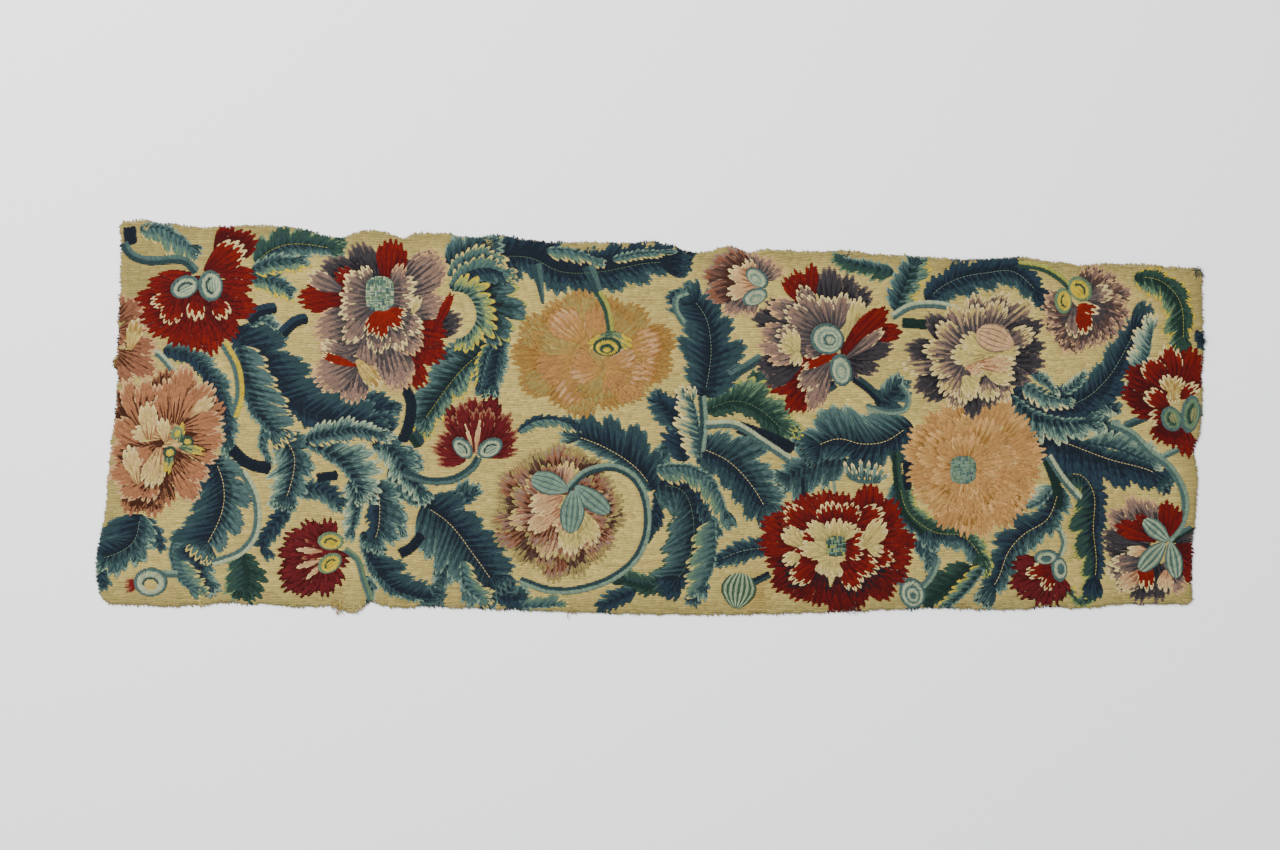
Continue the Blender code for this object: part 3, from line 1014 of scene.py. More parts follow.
PALE_OVAL = [(0.84, "teal"), (0.56, "ice"), (0.36, "pale teal"), (0.0, "ice")]
work = Work("top_bloom")
oval(work, (757, 278), 9.5, 6.0, -40.0, PALE_OVAL)
oval(work, (755, 297), 9.5, 6.0, 22.0, PALE_OVAL)
petals(work, 0.0003, [
    ("heart", (756, 286, 727, 296, 7), (754, 282, 728, 270, 7), (758, 282, 744, 260, 6)),
])
petals(work, 0.0, [
    ("rose mauve", (748, 284, 704, 296, 10), (748, 282, 702, 274, 10), (750, 280, 714, 254, 9),
     (752, 278, 728, 246, 8)),
    ("mauve", (752, 288, 722, 314, 9), (754, 290, 744, 318, 8), (756, 276, 748, 252, 8),
     (760, 276, 772, 256, 8), (764, 280, 784, 266, 6)),
])
work.sew()

# Mauve bloom at the middle right: a striped round pod at its heart, cream and mauve
# rays, crimson petals on two sides and near black ones between them.

RINGED = [
    (0.84, "teal"), (0.68, "ice"), (0.54, "pale teal"), (0.40, "ice"), (0.26, "teal"), (0.0, "ice"),
]
LONG_OVAL = [(0.80, "teal"), (0.56, "ice"), (0.34, "pale teal"), (0.0, "ice")]
work = Work("mauve_bloom")
oval(work, (827, 339), 11.5, 12.5, 70.0, RINGED)
oval(work, (841, 370), 8.0, 12.0, 10.0, LONG_OVAL)
petals(work, 0.0004, [
    ("scarlet cream", (838, 354, 801, 367, 4)),
    ("cream", (798, 352, 788, 328, 7), (798, 350, 777, 346, 6), (798, 352, 794, 366, 6)),
    ("mauve cream", (846, 358, 886, 331, 5)),
    ("red", (842, 354, 884, 305, 9), (862, 334, 902, 330, 8)),
    ("cream", (846, 342, 864, 298, 7)),
])
petals(work, 0.0002, [
    ("mauve cream", (822, 332, 784, 308, 9), (824, 330, 800, 294, 9), (830, 330, 820, 296, 8),
     (836, 332, 842, 292, 9), (820, 340, 776, 330, 9), (826, 362, 798, 388, 9)),
    ("mauve", (830, 362, 810, 412, 9), (810, 318, 768, 302, 9), (806, 336, 758, 332, 9),
     (806, 346, 756, 348, 8), (806, 352, 768, 362, 7)),
    ("mauve cream", (816, 316, 802, 284, 7), (832, 342, 798, 342, 14)),
])
petals(work, 0.0, [
    ("red", (802, 304, 783, 276, 6), (806, 302, 796, 268, 6), (812, 300, 811, 262, 6)),
    ("dusk", (828, 312, 830, 266, 11), (838, 312, 852, 274, 10), (842, 314, 870, 288, 10),
     (842, 356, 894, 346, 9), (842, 358, 880, 368, 9), (842, 358, 860, 378, 8),
     (796, 326, 751, 316, 9), (798, 320, 764, 302, 7), (800, 358, 755, 368, 9),
     (800, 366, 764, 384, 8)),
    ("red", (818, 362, 780, 368, 8), (818, 366, 770, 394, 10), (818, 376, 784, 410, 9),
     (812, 384, 804, 414, 6)),
])
work.sew()

# Cream bloom: cream and blush petals in the middle, grey ones at the rim, and one
# striped petal turned over them.

work = Work("cream_bloom")
striped(work, (1013, 346), 140.0, 165.0, 30.0, 11.0, ("mauve", "blush", "blush"))
petals(work, 0.0004, [
    ("cream", (990, 352, 960, 338, 9), (984, 356, 950, 354, 9)),
    ("heart", (966, 366, 984, 372, 6), (976, 364, 1016, 366, 7)),
    ("cream", (980, 354, 1020, 352, 9), (984, 370, 1014, 382, 8), (964, 376, 976, 398, 8)),
])
petals(work, 0.0002, [
    ("smoke", (966, 350, 938, 322, 9), (966, 354, 922, 348, 9), (964, 360, 930, 372, 9),
     (962, 366, 942, 396, 9), (966, 370, 960, 404, 9), (986, 378, 990, 402, 9),
     (996, 350, 1034, 330, 9), (990, 330, 1000, 300, 9), (976, 340, 972, 304, 9)),
])
petals(work, 0.0, [
    ("dusk", (960, 350, 926, 314, 9), (956, 354, 904, 346, 9)),
    ("smoke", (956, 360, 902, 368, 9)),
    ("dusk", (956, 366, 912, 388, 9), (958, 372, 926, 402, 9)),
    ("smoke", (968, 376, 952, 410, 9)),
    ("dusk", (974, 380, 972, 420, 8), (984, 376, 988, 410, 8)),
    ("smoke", (990, 374, 1010, 402, 9)),
    ("dusk", (992, 368, 1030, 384, 8), (994, 362, 1046, 364, 9), (994, 354, 1046, 344, 9),
     (990, 346, 1042, 318, 9)),
    ("smoke", (986, 340, 1030, 298, 9), (980, 340, 1004, 290, 10), (972, 340, 976, 292, 10),
     (966, 344, 950, 304, 9)),
])
work.sew()

# Orange bloom with a small blue heart: three rounds of narrow petals in orange, tan
# and apricot wool, close in shade.

HAZY = [
    ("tan", "orange", "orange", "apricot"),
    ("tan", "orange", "tan", "orange"),
    ("rust", "orange", "apricot", "orange"),
]
work = Work("orange_bloom")
seed_block(work, (963, 470), 19.0, 20.0, ("teal", "pale teal", "pale teal", "sea green"))
fan(work, (966, 468), 12, 0.0, 360.0, 6.0, 26.0, 8.0, HAZY, 0.0003, wobble=0.16)
fan(work, (970, 466), 14, 0.0, 360.0, 16.0, 41.0, 10.0, HAZY, 0.0002, wobble=0.18)
fan(work, (975, 464), 20, 0.0, 360.0, 28.0, 54.5, 10.0, HAZY, 0.0, wobble=0.13)
work.sew()

# Crimson bloom seen full face, with a blue and green heart: cream petals inside,
# crimson ones with cream edges round them, and crimson and maroon ones at the rim.

CRIMSON_RIM = ("maroon", "crimson", "scarlet", "crimson", "crimson")
SHADED_RIM = ("ink", "maroon", "crimson", "maroon", "crimson")
work = Work("crimson_bloom")
seed_block(work, (836, 546), 15.0, 15.0, ("teal", "lime", "pale teal", "leaf green"))
petals(work, 0.0005, [
    ("cream", (836, 542, 836, 518, 10), (830, 540, 806, 524, 7), (840, 540, 856, 524, 6),
     (826, 552, 798, 548, 7), (832, 560, 828, 577, 12), (864, 546, 886, 522, 9),
     (868, 548, 884, 552, 6), (800, 556, 782, 560, 6), (802, 546, 784, 528, 8)),
])
petals(work, 0.0003, [
    ("red cream", (834, 528, 826, 502, 11), (842, 526, 856, 504, 9), (852, 524, 884, 510, 9),
     (812, 528, 784, 510, 9), (842, 542, 864, 532, 7), (842, 548, 864, 550, 9),
     (846, 556, 878, 572, 9), (858, 552, 894, 562, 8), (842, 562, 858, 590, 9),
     (818, 562, 792, 584, 9), (816, 548, 790, 564, 8), (814, 540, 796, 536, 6)),
])
petals(work, 0.0, [
    ("red", (866, 526, 872, 483, 12), (876, 530, 896, 498, 10)),
])
fan(work, (836, 548), 11, -20.0, 185.0, 24.0, 55.0, 11.5, CRIMSON_RIM, 0.0, (1.10, 0.84), None, 0.12)
fan(work, (836, 548), 8, 185.0, 340.0, 24.0, 55.0, 11.5, SHADED_RIM, 0.0, (1.08, 0.90), None, 0.12)
work.sew()

# Four smaller blooms of the right side, each with its pods: one upright in mauve,
# one crimson at the edge, one mauve and crimson below it, and one dark red.

PLUM_RAYS = ("slate", "plum", "mauve", "blush")
work = Work("upper_bloom")
oval(work, (1080, 289), 10.0, 8.0, -45.0, LIME_OVAL)
oval(work, (1063, 301), 9.5, 6.2, 95.0, LIME_OVAL)
petals(work, 0.0003, [
    ("scarlet cream", (1078, 306, 1100, 312, 5), (1080, 304, 1088, 334, 7)),
    ("mauve cream", (1074, 308, 1076, 338, 8), (1088, 298, 1112, 290, 8)),
])
fan(work, (1086, 306), 12, -105.0, 95.0, 4.0, 36.0, 9.0, PLUM_RAYS, 0.0, wobble=0.14)
fan(work, (1082, 312), 7, 150.0, 270.0, 4.0, 33.0, 8.0, PLUM_RAYS, 0.0, wobble=0.12)
work.sew()

GREEN_OVAL = [
    (0.82, "teal"), (0.6, "sea green"), (0.4, ("leaf green", "sea green")),
    (0.0, ("sea green", "khaki")),
]
work = Work("edge_bloom")
oval(work, (1171, 419), 9.5, 7.5, 110.0, GREEN_OVAL)
oval(work, (1190, 414), 14.0, 7.0, 82.0, GREEN_OVAL)
petals(work, 0.0004, [
    ("ochre cream", (1172, 392, 1162, 376, 6), (1172, 392, 1182, 378, 6),
     (1172, 388, 1174, 404, 6)),
    ("red cream", (1168, 408, 1146, 390, 8), (1166, 414, 1148, 420, 7), (1180, 398, 1198, 384, 6)),
])
petals(work, 0.0, [
    ("red cream", (1168, 390, 1146, 358, 10), (1174, 388, 1170, 344, 10)),
    ("red", (1180, 388, 1192, 346, 10), (1182, 392, 1204, 366, 10)),
    ("dark red", (1168, 392, 1124, 372, 11), (1166, 398, 1120, 392, 11),
     (1166, 404, 1130, 412, 10), (1168, 424, 1154, 442, 9), (1176, 426, 1176, 450, 9)),
    ("red", (1184, 428, 1190, 458, 8)),
])
work.sew()

STRIPED_PALE = ("teal", "pale teal", "ice")
work = Work("lower_bloom")
striped(work, (1168, 541), 120.0, 165.0, 24.0, 7.0, STRIPED_PALE)
striped(work, (1164, 543), 205.0, 250.0, 27.0, 7.5, STRIPED_PALE)
striped(work, (1170, 543), 262.0, 300.0, 26.0, 7.0, STRIPED_PALE)
petals(work, 0.0003, [
    ("red", (1156, 540, 1116, 522, 8), (1156, 536, 1134, 516, 6), (1166, 534, 1166, 500, 7),
     (1168, 536, 1178, 506, 7)),
    ("scarlet cream", (1146, 556, 1144, 592, 7)),
    ("heart", (1150, 552, 1126, 550, 5)),
    ("mauve cream", (1150, 558, 1110, 568, 8)),
    ("heart", (1150, 564, 1116, 590, 7), (1166, 570, 1164, 592, 7)),
])
petals(work, 0.0, [
    ("mauve", (1150, 540, 1128, 494, 10), (1154, 538, 1146, 496, 10), (1150, 542, 1108, 508, 10)),
    ("dusk", (1150, 546, 1102, 530, 10), (1150, 550, 1102, 548, 10)),
    ("mauve cream", (1150, 556, 1106, 574, 12), (1150, 560, 1118, 592, 10)),
    ("dusk", (1152, 562, 1136, 602, 11), (1156, 562, 1162, 602, 10)),
    ("mauve", (1164, 562, 1180, 596, 9)),
    ("red", (1172, 556, 1192, 586, 11)),
    ("dark red", (1172, 548, 1198, 560, 11)),
    ("dusk", (1176, 546, 1198, 542, 9)),
])
work.sew()

SMALL_OVAL = [(0.78, "teal"), (0.5, "ice"), (0.0, "teal")]
work = Work("dark_red_bloom")
oval(work, (1046, 557), 8.8, 5.4, 5.0, SMALL_OVAL)
oval(work, (1059, 569), 9.2, 5.8, 95.0, SMALL_OVAL)
petals(work, 0.0003, [
    ("red cream", (1052, 568, 1026, 576, 6), (1052, 572, 1044, 590, 6), (1050, 564, 1034, 562, 5)),
])
petals(work, 0.0, [
    ("wine", (1050, 566, 1010, 566, 9), (1050, 570, 1008, 586, 9), (1050, 570, 1020, 600, 9),
     (1052, 572, 1036, 607, 9), (1054, 574, 1054, 606, 9), (1058, 576, 1066, 598, 7)),
])
work.sew()

# Round buds along the lower side: a ringed one with red petals behind it, a striped
# one like a basket, and a second ringed one.

OPEN_RING = [(0.84, "teal"), (0.52, "ice"), (0.42, ("deep teal", "ice")), (0.0, "straw")]
RINGED_BUD = [(0.82, "teal"), (0.62, "ice"), (0.46, "teal"), (0.26, "ice"), (0.0, "teal")]
work = Work("buds")
oval(work, (151, 582), 12.5, 10.5, 0.0, OPEN_RING)
fan(work, (142, 584), 2, 165.0, 210.0, 4.0, 13.0, 4.0, ("scarlet", "brick", "rose"))
striped(work, (736, 608), 74.0, 90.0, 25.5, 13.5, ("leaf green", "sea green", "ice"))
oval(work, (912, 593), 9.5, 11.5, 20.0, RINGED_BUD)
fan(work, (905, 585), 1, 95.0, 165.0, 0.0, 13.0, 7.0, ("teal", "teal", "pale teal"))
work.sew()


# Stems of the three parts of the panel, in wool laid across them. The woody ones are
# broad and nearly black, and the young ones blue green, yellow or pale.

def stems(name, rows):
    """A piece of stems from a table: listed places, width in mm, light and dark wool."""
    work = Work(name)
    for row in rows:
        stem(work, *row)
    work.sew()


stems("stems_of_the_left_side", [
    ([(124, 243), (132, 255), (150, 261), (182, 260), (197, 272)], 6.4, "teal", "deep teal"),
    ([(130, 227), (131, 245)], 9.5, "navy", "navy"),
    ([(140, 347), (160, 355), (178, 377)], 4.8, "ice", "teal"),
    ([(224, 343), (237, 368), (240, 395), (234, 417)], 6.5, "yellow", "teal"),
    ([(248, 321), (260, 311), (277, 308)], 8, "blue", "navy"),
    ([(282, 334), (295, 322), (308, 318)], 8, "blue", "navy"),
    ([(232, 449), (248, 463), (271, 469)], 8.5, "navy", "navy"),
    ([(243, 472), (254, 492), (258, 515), (254, 537), (238, 554), (212, 563)], 5.6, "ice", "teal"),
    ([(162, 574), (178, 574)], 5, "pale teal", "teal"),
    ([(317, 478), (338, 475)], 6.5, "navy", "navy"),
    ([(345, 549), (358, 560), (364, 580), (371, 600)], 4.6, "sea green", "teal"),
    ([(402, 381), (411, 402), (409, 424), (402, 442)], 7.8, "navy", "navy"),
    ([(400, 554), (412, 547), (422, 534)], 7.4, "navy", "navy"),
    ([(479, 457), (472, 468), (454, 479), (430, 481), (404, 474)], 5.6, "teal", "deep teal"),
    ([(412, 433), (421, 446)], 9, "deep teal", "dark green"),
    ([(420, 603), (437, 602), (444, 592), (438, 584), (431, 587), (434, 594)],
     1.8, "deep teal", "teal"),
])

stems("stems_of_the_middle", [
    ([(730, 376), (748, 366), (762, 357)], 6.8, "teal", "deep teal"),
    ([(706, 425), (735, 425), (762, 441), (790, 460)], 6, "ice", "teal"),
    ([(738, 427), (765, 436), (794, 449)], 9, "navy", "navy"),
    ([(702, 396), (704, 425), (701, 452)], 6, "pale teal", "deep teal"),
    ([(804, 478), (805, 503)], 5, "deep teal", "navy"),
    ([(832, 481), (835, 503)], 4, "pale teal", "straw"),
    ([(770, 574), (752, 583)], 5, "deep teal", "navy"),
    ([(835, 384), (814, 399)], 6, "deep teal", "navy"),
    ([(850, 375), (868, 388), (882, 402)], 6.5, "deep teal", "navy"),
    ([(655, 360), (648, 372)], 3, "cream", "straw"),
])

stems("stems_of_the_right_side", [
    ([(892, 317), (912, 306), (940, 305), (962, 313), (975, 330)], 5.4, "ice", "teal"),
    ([(956, 335), (974, 333), (990, 320)], 5, "pale teal", "teal"),
    ([(902, 323), (935, 325)], 7, "dark green", "dark green"),
    ([(1018, 264), (1042, 268), (1060, 278), (1070, 288)], 5.4, "lime", "leaf green"),
    ([(1110, 424), (1132, 434), (1150, 452), (1170, 468), (1184, 495), (1182, 522), (1168, 541)],
     5.6, "pale teal", "teal"),
    ([(1124, 426), (1146, 417)], 5.6, "teal", "deep teal"),
    ([(1160, 458), (1184, 446)], 4.2, "pale teal", "teal"),
    ([(1048, 456), (1062, 478), (1080, 499)], 5.4, "ice", "teal"),
    ([(1047, 460), (1056, 485), (1058, 508)], 7, "dark green", "dark green"),
    ([(938, 560), (930, 578), (916, 592)], 5, "pale teal", "teal"),
    ([(896, 452), (898, 480), (906, 512), (925, 532)], 6.6, "leaf green", "dark green"),
    ([(907, 462), (907, 490)], 6.2, "navy", "navy"),
    ([(1060, 530), (1064, 543), (1060, 556)], 4, "ice", "teal"),
    ([(1170, 541), (1192, 528)], 5.5, "teal", "dark green"),
])


# Leaves: stitches slanted from the midrib to a deeply cut edge, in shades that run
# from the dark midrib out to the pale tips. A thin couched yarn marks the midrib.

FULLNESS = 1.32
SLIM_FULLNESS = 0.16
LEAN = 72.0
SLIM_LEAN = 20.0
TIP_LEAN = 24.0
LOBE_LEAN = 5.0
LOBE_DEPTH = 0.55
SLIM_LOBE_DEPTH = 0.20
LOBE_HEIGHTS = (0.76, 1.08)
CUT_SHARE = 0.32
SLIM_CUT_SHARE = 0.14
BROAD_HALF = 15.0
SLIM_RANGE = 8.0
TIP_PLACE = 0.86
TIP_SHARE = 0.14
TIP_LENGTH = 0.004
TIP_BREADTH = 0.30
SPINE_PITCH = 0.001
RIB_PITCH = 0.0026
RIB_WIDTH = 0.00045
RIB_RUN = (0.08, 0.86)


def leaf(work, spine, left, right, lobes, left_ramp, right_ramp, rib=None, lift=0.0):
    """One leaf from its base to its tip; left and right are its half widths in mm."""
    spots, ahead, span = smooth(spine, SPINE_PITCH)
    last = len(spots) - 1
    heading = np.unwrap(np.arctan2(ahead[:, 1], ahead[:, 0]))
    lobes = max(1, round(0.9 * lobes))
    fingers = lobes * max(1, round(span / lobes / FINGER_WIDTH))
    if left > 0.0 and right > 0.0:
        petal(
            work, spots[round(last * TIP_PLACE)], heading[last],
            TIP_SHARE * span + TIP_LENGTH, TIP_BREADTH * (left + right) * MM, left_ramp, lift,
        )
    for sign, width, ramp in ((1.0, left, left_ramp), (-1.0, right, right_ramp)):
        if width <= 0.0:
            continue
        slim = min(max((BROAD_HALF - width) / SLIM_RANGE, 0.0), 1.0)
        cuts = chance.uniform(*FINGER_CUTS, fingers)
        ups = chance.uniform(*LOBE_HEIGHTS, lobes)

        def place(out, part):
            finger, phase, middle = fingered(part, fingers)
            lobe, _, middle_of_lobe = fingered(part, lobes)
            swing = -2.0 * lobes * middle_of_lobe
            slope = np.abs(swing - 0.3) / np.where(swing > 0.3, 0.7, 1.3)
            out = np.broadcast_to(out, np.shape(part))
            lean = np.radians(LEAN - SLIM_LEAN * slim - TIP_LEAN * part - LOBE_LEAN * swing)
            bulge = np.sin(math.pi * (0.16 + 0.80 * part)) ** 0.5 * ups[lobe]
            bulge = bulge * (1.0 - (LOBE_DEPTH - SLIM_LOBE_DEPTH * slim) * slope ** 2.7)
            reach = width * (FULLNESS + SLIM_FULLNESS * slim) * MM * bulge
            cut = np.minimum(FINGER_DEPTH, (CUT_SHARE + SLIM_CUT_SHARE * slim) * reach)
            edge = reach - cuts[finger] * cut * (1.0 - phase) ** 2.4
            at = (part + middle * drawn_in(out, phase)) * last
            knots = np.arange(last + 1)
            root = np.stack([np.interp(at, knots, line) for line in spots.T], axis=-1)
            way = np.interp(at, knots, heading) + sign * lean
            return root + (out * edge)[..., None] * np.stack([np.cos(way), np.sin(way)], axis=-1)

        contour = place(1.0, np.linspace(0.0, 1.0, 10 * fingers + 1))
        patch = claim(np.concatenate([spots, contour[::-1]]))
        widest = np.linalg.norm(np.diff(contour, axis=0), axis=1)
        longer = max(1.0, np.percentile(widest, 60) * 10 * fingers / span)
        lines = max(4, round(span * longer / STITCH_PITCH))
        part = (np.arange(lines) + 0.5) / lines
        _, phase, _ = fingered(part, fingers)
        _, _, middle_of_lobe = fingered(part, lobes)
        long_and_short(
            work, lambda out: place(out, part), ramp, patch, phase, lift,
            dimmed=0.5 * np.abs(2.0 * lobes * middle_of_lobe) ** 3, bare=0.4,
        )
    if rib:
        line, _, _ = smooth(spine, RIB_PITCH)
        first, final = (round(part * len(line)) for part in RIB_RUN)
        line = line[first:final]
        way = line[1:] - line[:-1]
        work.lay(
            line[:-1] + 0.3 * way, line[:-1] + 0.6 * way, dyed(rib),
            width=RIB_WIDTH, lift=STRIPE_LIFT,
        )


def leaves(name, rows):
    """A piece of leaves from a table.

    Its columns are the listed places of the spine, the half widths left and right
    in mm, the lobes, the shades left and right, and the midrib's yarn if it has one.
    """
    work = Work(name)
    for row in rows:
        leaf(work, *row)
    work.sew()


# shades of the leaves, from the midrib to the tips
NAVY = ("navy", "navy", "blue", "deep teal", "deep teal", "teal")
INK = ("navy", "navy", "blue", "blue", "deep teal")
TEAL = ("navy", "deep teal", "deep teal", "teal", "teal", "pale teal")
DEEP = ("navy", "deep teal", "deep teal", "teal", "pale teal")
PALE = ("navy", "deep teal", "teal", "pale teal", "ice")
GREEN = ("dark green", "deep teal", "leaf green", "leaf green", "sea green")
DARK_GREEN = ("dark green", "dark green", "leaf green", "leaf green")
YELLOW = ("dark green", "deep teal", "teal", "sea green", "yellow")
LIMED = ("dark green", "leaf green", "leaf green", "sea green", "lime")
CREAM_TIPS = ("navy", "deep teal", "teal", "teal", "straw")
STRAW_TIPS = ("deep teal", "teal", "teal", "sea green", "straw")
TURNED = ("teal", "teal", "pale teal", "ice", "cream")

leaves("leaves_of_the_top_left_corner", [
    ([(140, 228), (165, 230), (198, 252)], 5, 15, 5, TEAL, STRAW_TIPS),
    ([(252, 270), (276, 262), (306, 260)], 7, 10, 4, DEEP, YELLOW),
    ([(248, 276), (268, 278), (292, 292)], 8, 11, 4, DEEP, YELLOW),
    ([(256, 264), (272, 250), (298, 244), (342, 250)], 15, 12, 6, GREEN, DEEP, "lime"),
    ([(248, 326), (262, 319), (278, 326)], 6, 6, 3, PALE, DEEP),
])

leaves("great_leaf_of_the_left_side", [
    ([(238, 345), (245, 380), (256, 412), (284, 442)], 25, 6, 7, CREAM_TIPS, DEEP),
    ([(306, 440), (332, 433), (360, 430), (390, 438)], 10, 11, 5, PALE, CREAM_TIPS),
    ([(306, 444), (332, 456), (352, 476), (364, 502)], 21, 6, 7, PALE, TEAL),
    ([(236, 328), (254, 352), (272, 382), (298, 406), (334, 420), (388, 434)],
     28, 15, 7, NAVY, INK),
    ([(330, 420), (362, 402), (398, 410)], 11, 12, 4, NAVY, INK),
    ([(374, 436), (394, 452), (408, 474), (428, 500)], 11, 13, 5, DEEP, PALE),
])

leaves("leaves_below_the_peony", [
    ([(163, 350), (194, 359), (218, 388), (229, 425), (226, 455)], 11, 9, 7, DEEP, INK),
    ([(214, 456), (224, 486), (221, 516), (200, 558)], 19, 30, 6, CREAM_TIPS, NAVY, "cream"),
    ([(180, 528), (172, 552), (180, 578), (200, 596)], 15, 3, 6, STRAW_TIPS, TEAL),
    ([(200, 552), (202, 574), (214, 592)], 12, 12, 3, DEEP, NAVY),
    ([(240, 552), (244, 574), (242, 596)], 15, 15, 4, DARK_GREEN, GREEN),
    ([(141, 514), (135, 540), (118, 553), (94, 560)], 16, 27, 5, DEEP, NAVY, "pale teal"),
    ([(142, 518), (152, 530), (162, 548)], 8, 8, 4, NAVY, TEAL),
    ([(100, 566), (104, 586)], 7, 7, 3, NAVY, NAVY),
    ([(281, 434), (294, 454), (293, 477), (284, 506)], 16, 19, 5, DEEP, PALE, "cream"),
    ([(274, 412), (262, 440), (270, 464)], 8, 4, 4, TEAL, TEAL),
    ([(290, 508), (276, 524), (264, 542), (270, 556)], 9, 8, 5, NAVY, INK),
    ([(298, 490), (322, 490), (342, 504)], 10, 11, 4, NAVY, DEEP),
])

leaves("leaves_over_the_lower_left", [
    ([(352, 478), (359, 502), (350, 538)], 5, 12, 5, TEAL, PALE),
    ([(370, 482), (379, 498), (379, 526), (372, 548)], 19, 12, 4, DEEP, INK, "cream"),
    ([(384, 492), (396, 510), (404, 536)], 8, 7, 4, PALE, TEAL),
    ([(362, 532), (372, 564), (396, 590), (440, 602)], 19, 7, 6, NAVY, DEEP),
    ([(366, 575), (372, 588), (368, 602)], 5, 4, 2, PALE, PALE),
    ([(388, 470), (402, 486), (418, 496)], 10, 7, 3, PALE, TEAL),
    ([(370, 432), (384, 446), (390, 462)], 5, 7, 3, TEAL, CREAM_TIPS),
    ([(400, 446), (410, 458), (416, 468)], 9, 5, 3, TEAL, DEEP),
])

leaves("broad_leaf_of_the_lower_middle", [
    ([(462, 560), (467, 586), (488, 604)], 12, 4, 5, STRAW_TIPS, TEAL),
    ([(422, 504), (450, 524), (474, 555), (500, 592)], 24, 31, 6, NAVY, DEEP, "cream"),
    ([(398, 492), (424, 502), (452, 512)], 8, 8, 3, DEEP, DEEP),
    ([(444, 510), (462, 498), (478, 490)], 11, 8, 3, DEEP, NAVY),
    ([(446, 552), (444, 568), (440, 584)], 9, 9, 3, DEEP, DEEP),
    ([(490, 588), (512, 597), (524, 590)], 11, 10, 3, DEEP, INK),
    ([(500, 603), (530, 606), (566, 604)], 10, 3, 6, STRAW_TIPS, TEAL),
    ([(636, 590), (618, 597), (600, 606)], 9, 8, 3, INK, NAVY),
])

leaves("curled_leaf_of_the_upper_left", [
    ([(452, 291), (466, 294), (475, 306), (476, 321), (468, 334), (456, 341)],
     15, 0, 9, ("dark green", "teal", "sea green", "lime", "yellow"), DEEP),
    ([(450, 288), (468, 272), (488, 268), (512, 276)], 9, 14, 3, STRAW_TIPS, NAVY),
    ([(448, 276), (464, 260), (484, 254), (504, 262)], 7, 10, 3, STRAW_TIPS, DEEP),
    ([(462, 280), (480, 292), (488, 312), (484, 336)],
     26, 0, 6, ("ink", "dark green", "deep teal", "deep teal", "teal", "lime"), DEEP),
    ([(502, 338), (486, 352), (478, 390)], 5, 6, 6, NAVY, YELLOW),
    ([(506, 330), (498, 360), (492, 394)], 9, 16, 4, DEEP, NAVY),
    ([(492, 346), (470, 362), (450, 384), (416, 432)],
     17, 21, 5, YELLOW, ("navy", "dark green", "deep teal", "teal", "teal"), "lime"),
    ([(480, 338), (460, 352), (436, 360)], 12, 9, 3, DEEP, DEEP),
    ([(446, 262), (470, 250), (500, 246)], 14, 11, 3, DEEP, NAVY),
])

work = Work("long_leaf_of_the_top")
leaf(work, [(546, 250), (572, 251), (602, 262)], 3.0, 9.0, 5, TEAL, STRAW_TIPS)
leaf(work, [(612, 260), (640, 254), (672, 252)], 4.0, 6.0, 5, TEAL, STRAW_TIPS)
stem(work, [(536, 264), (540, 284), (543, 303)], 9.0, "teal", "deep teal", taper=0.8)
stem(work, [(588, 266), (595, 282), (600, 296)], 10.0, "teal", "deep teal", taper=0.5)
leaf(
    work, [(492, 256), (530, 258), (562, 272), (600, 272), (650, 263), (688, 264)],
    22.0, 20.0, 9, ("navy", "navy", "navy", "blue", "deep teal"), NAVY, "sea green",
)
leaf(work, [(518, 432), (535, 421), (556, 420), (580, 428)], 4.0, 9.0, 6, INK, STRAW_TIPS)
work.sew()

work = Work("upright_leaf_of_the_middle")
stem(work, [(688, 292), (677, 297), (676, 310), (684, 324)], 4.4, "pale teal", "teal")
leaf(
    work, [(700, 460), (697, 425), (690, 390)],
    17.0, 3.0, 5, ("deep teal", "teal", "pale teal", "straw", "cream"), TEAL,
)
leaf(
    work, [(704, 398), (709, 372), (711, 346), (705, 316), (684, 290)],
    25.0, 22.0, 6, NAVY, NAVY, "pale teal",
)
leaf(work, [(690, 432), (674, 416), (654, 396)], 12.0, 12.0, 4, NAVY, INK)
leaf(work, [(706, 382), (722, 372), (736, 368)], 8.0, 7.0, 3, NAVY, DEEP)
leaf(work, [(684, 462), (680, 440), (682, 420)], 13.0, 13.0, 5, INK, INK)
work.sew()

leaves("leaves_of_the_middle", [
    ([(655, 468), (688, 468), (712, 484), (732, 526)], 5, 14, 6, TEAL, STRAW_TIPS),
    ([(714, 520), (713, 560), (700, 596)], 3, 20, 5, TEAL, STRAW_TIPS),
    ([(654, 490), (634, 466), (602, 446), (564, 432)], 11, 23, 6, DEEP, NAVY, "cream"),
    ([(706, 410), (735, 401), (762, 411), (790, 438)], 21, 13, 5, LIMED, DARK_GREEN, "sea green"),
    ([(764, 400), (780, 416), (798, 434)], 7, 8, 4, YELLOW, YELLOW),
    ([(696, 446), (728, 461), (752, 486), (772, 520)], 24, 19, 6, DEEP, NAVY, "cream"),
    ([(748, 388), (758, 380), (775, 384)], 9, 9, 3, GREEN, TEAL),
    ([(700, 500), (708, 518), (718, 534)], 9, 7, 3, DEEP, NAVY),
    ([(655, 484), (684, 492), (694, 528), (686, 566), (664, 592)],
     16, 25, 8, INK, ("navy", "deep teal", "deep teal", "teal", "leaf green"), "sea green"),
    ([(676, 580), (650, 586), (616, 578)], 9, 12, 4, DARK_GREEN, GREEN),
    ([(694, 560), (697, 582), (692, 602)], 10, 10, 3, NAVY, DEEP),
    ([(658, 488), (656, 514), (648, 538)], 7, 6, 3, INK, INK),
    ([(668, 442), (660, 460), (655, 476)], 9, 9, 3, DEEP, DEEP),
    ([(770, 547), (742, 551), (716, 561)], 10, 10, 4, NAVY, NAVY, "pale teal"),
])

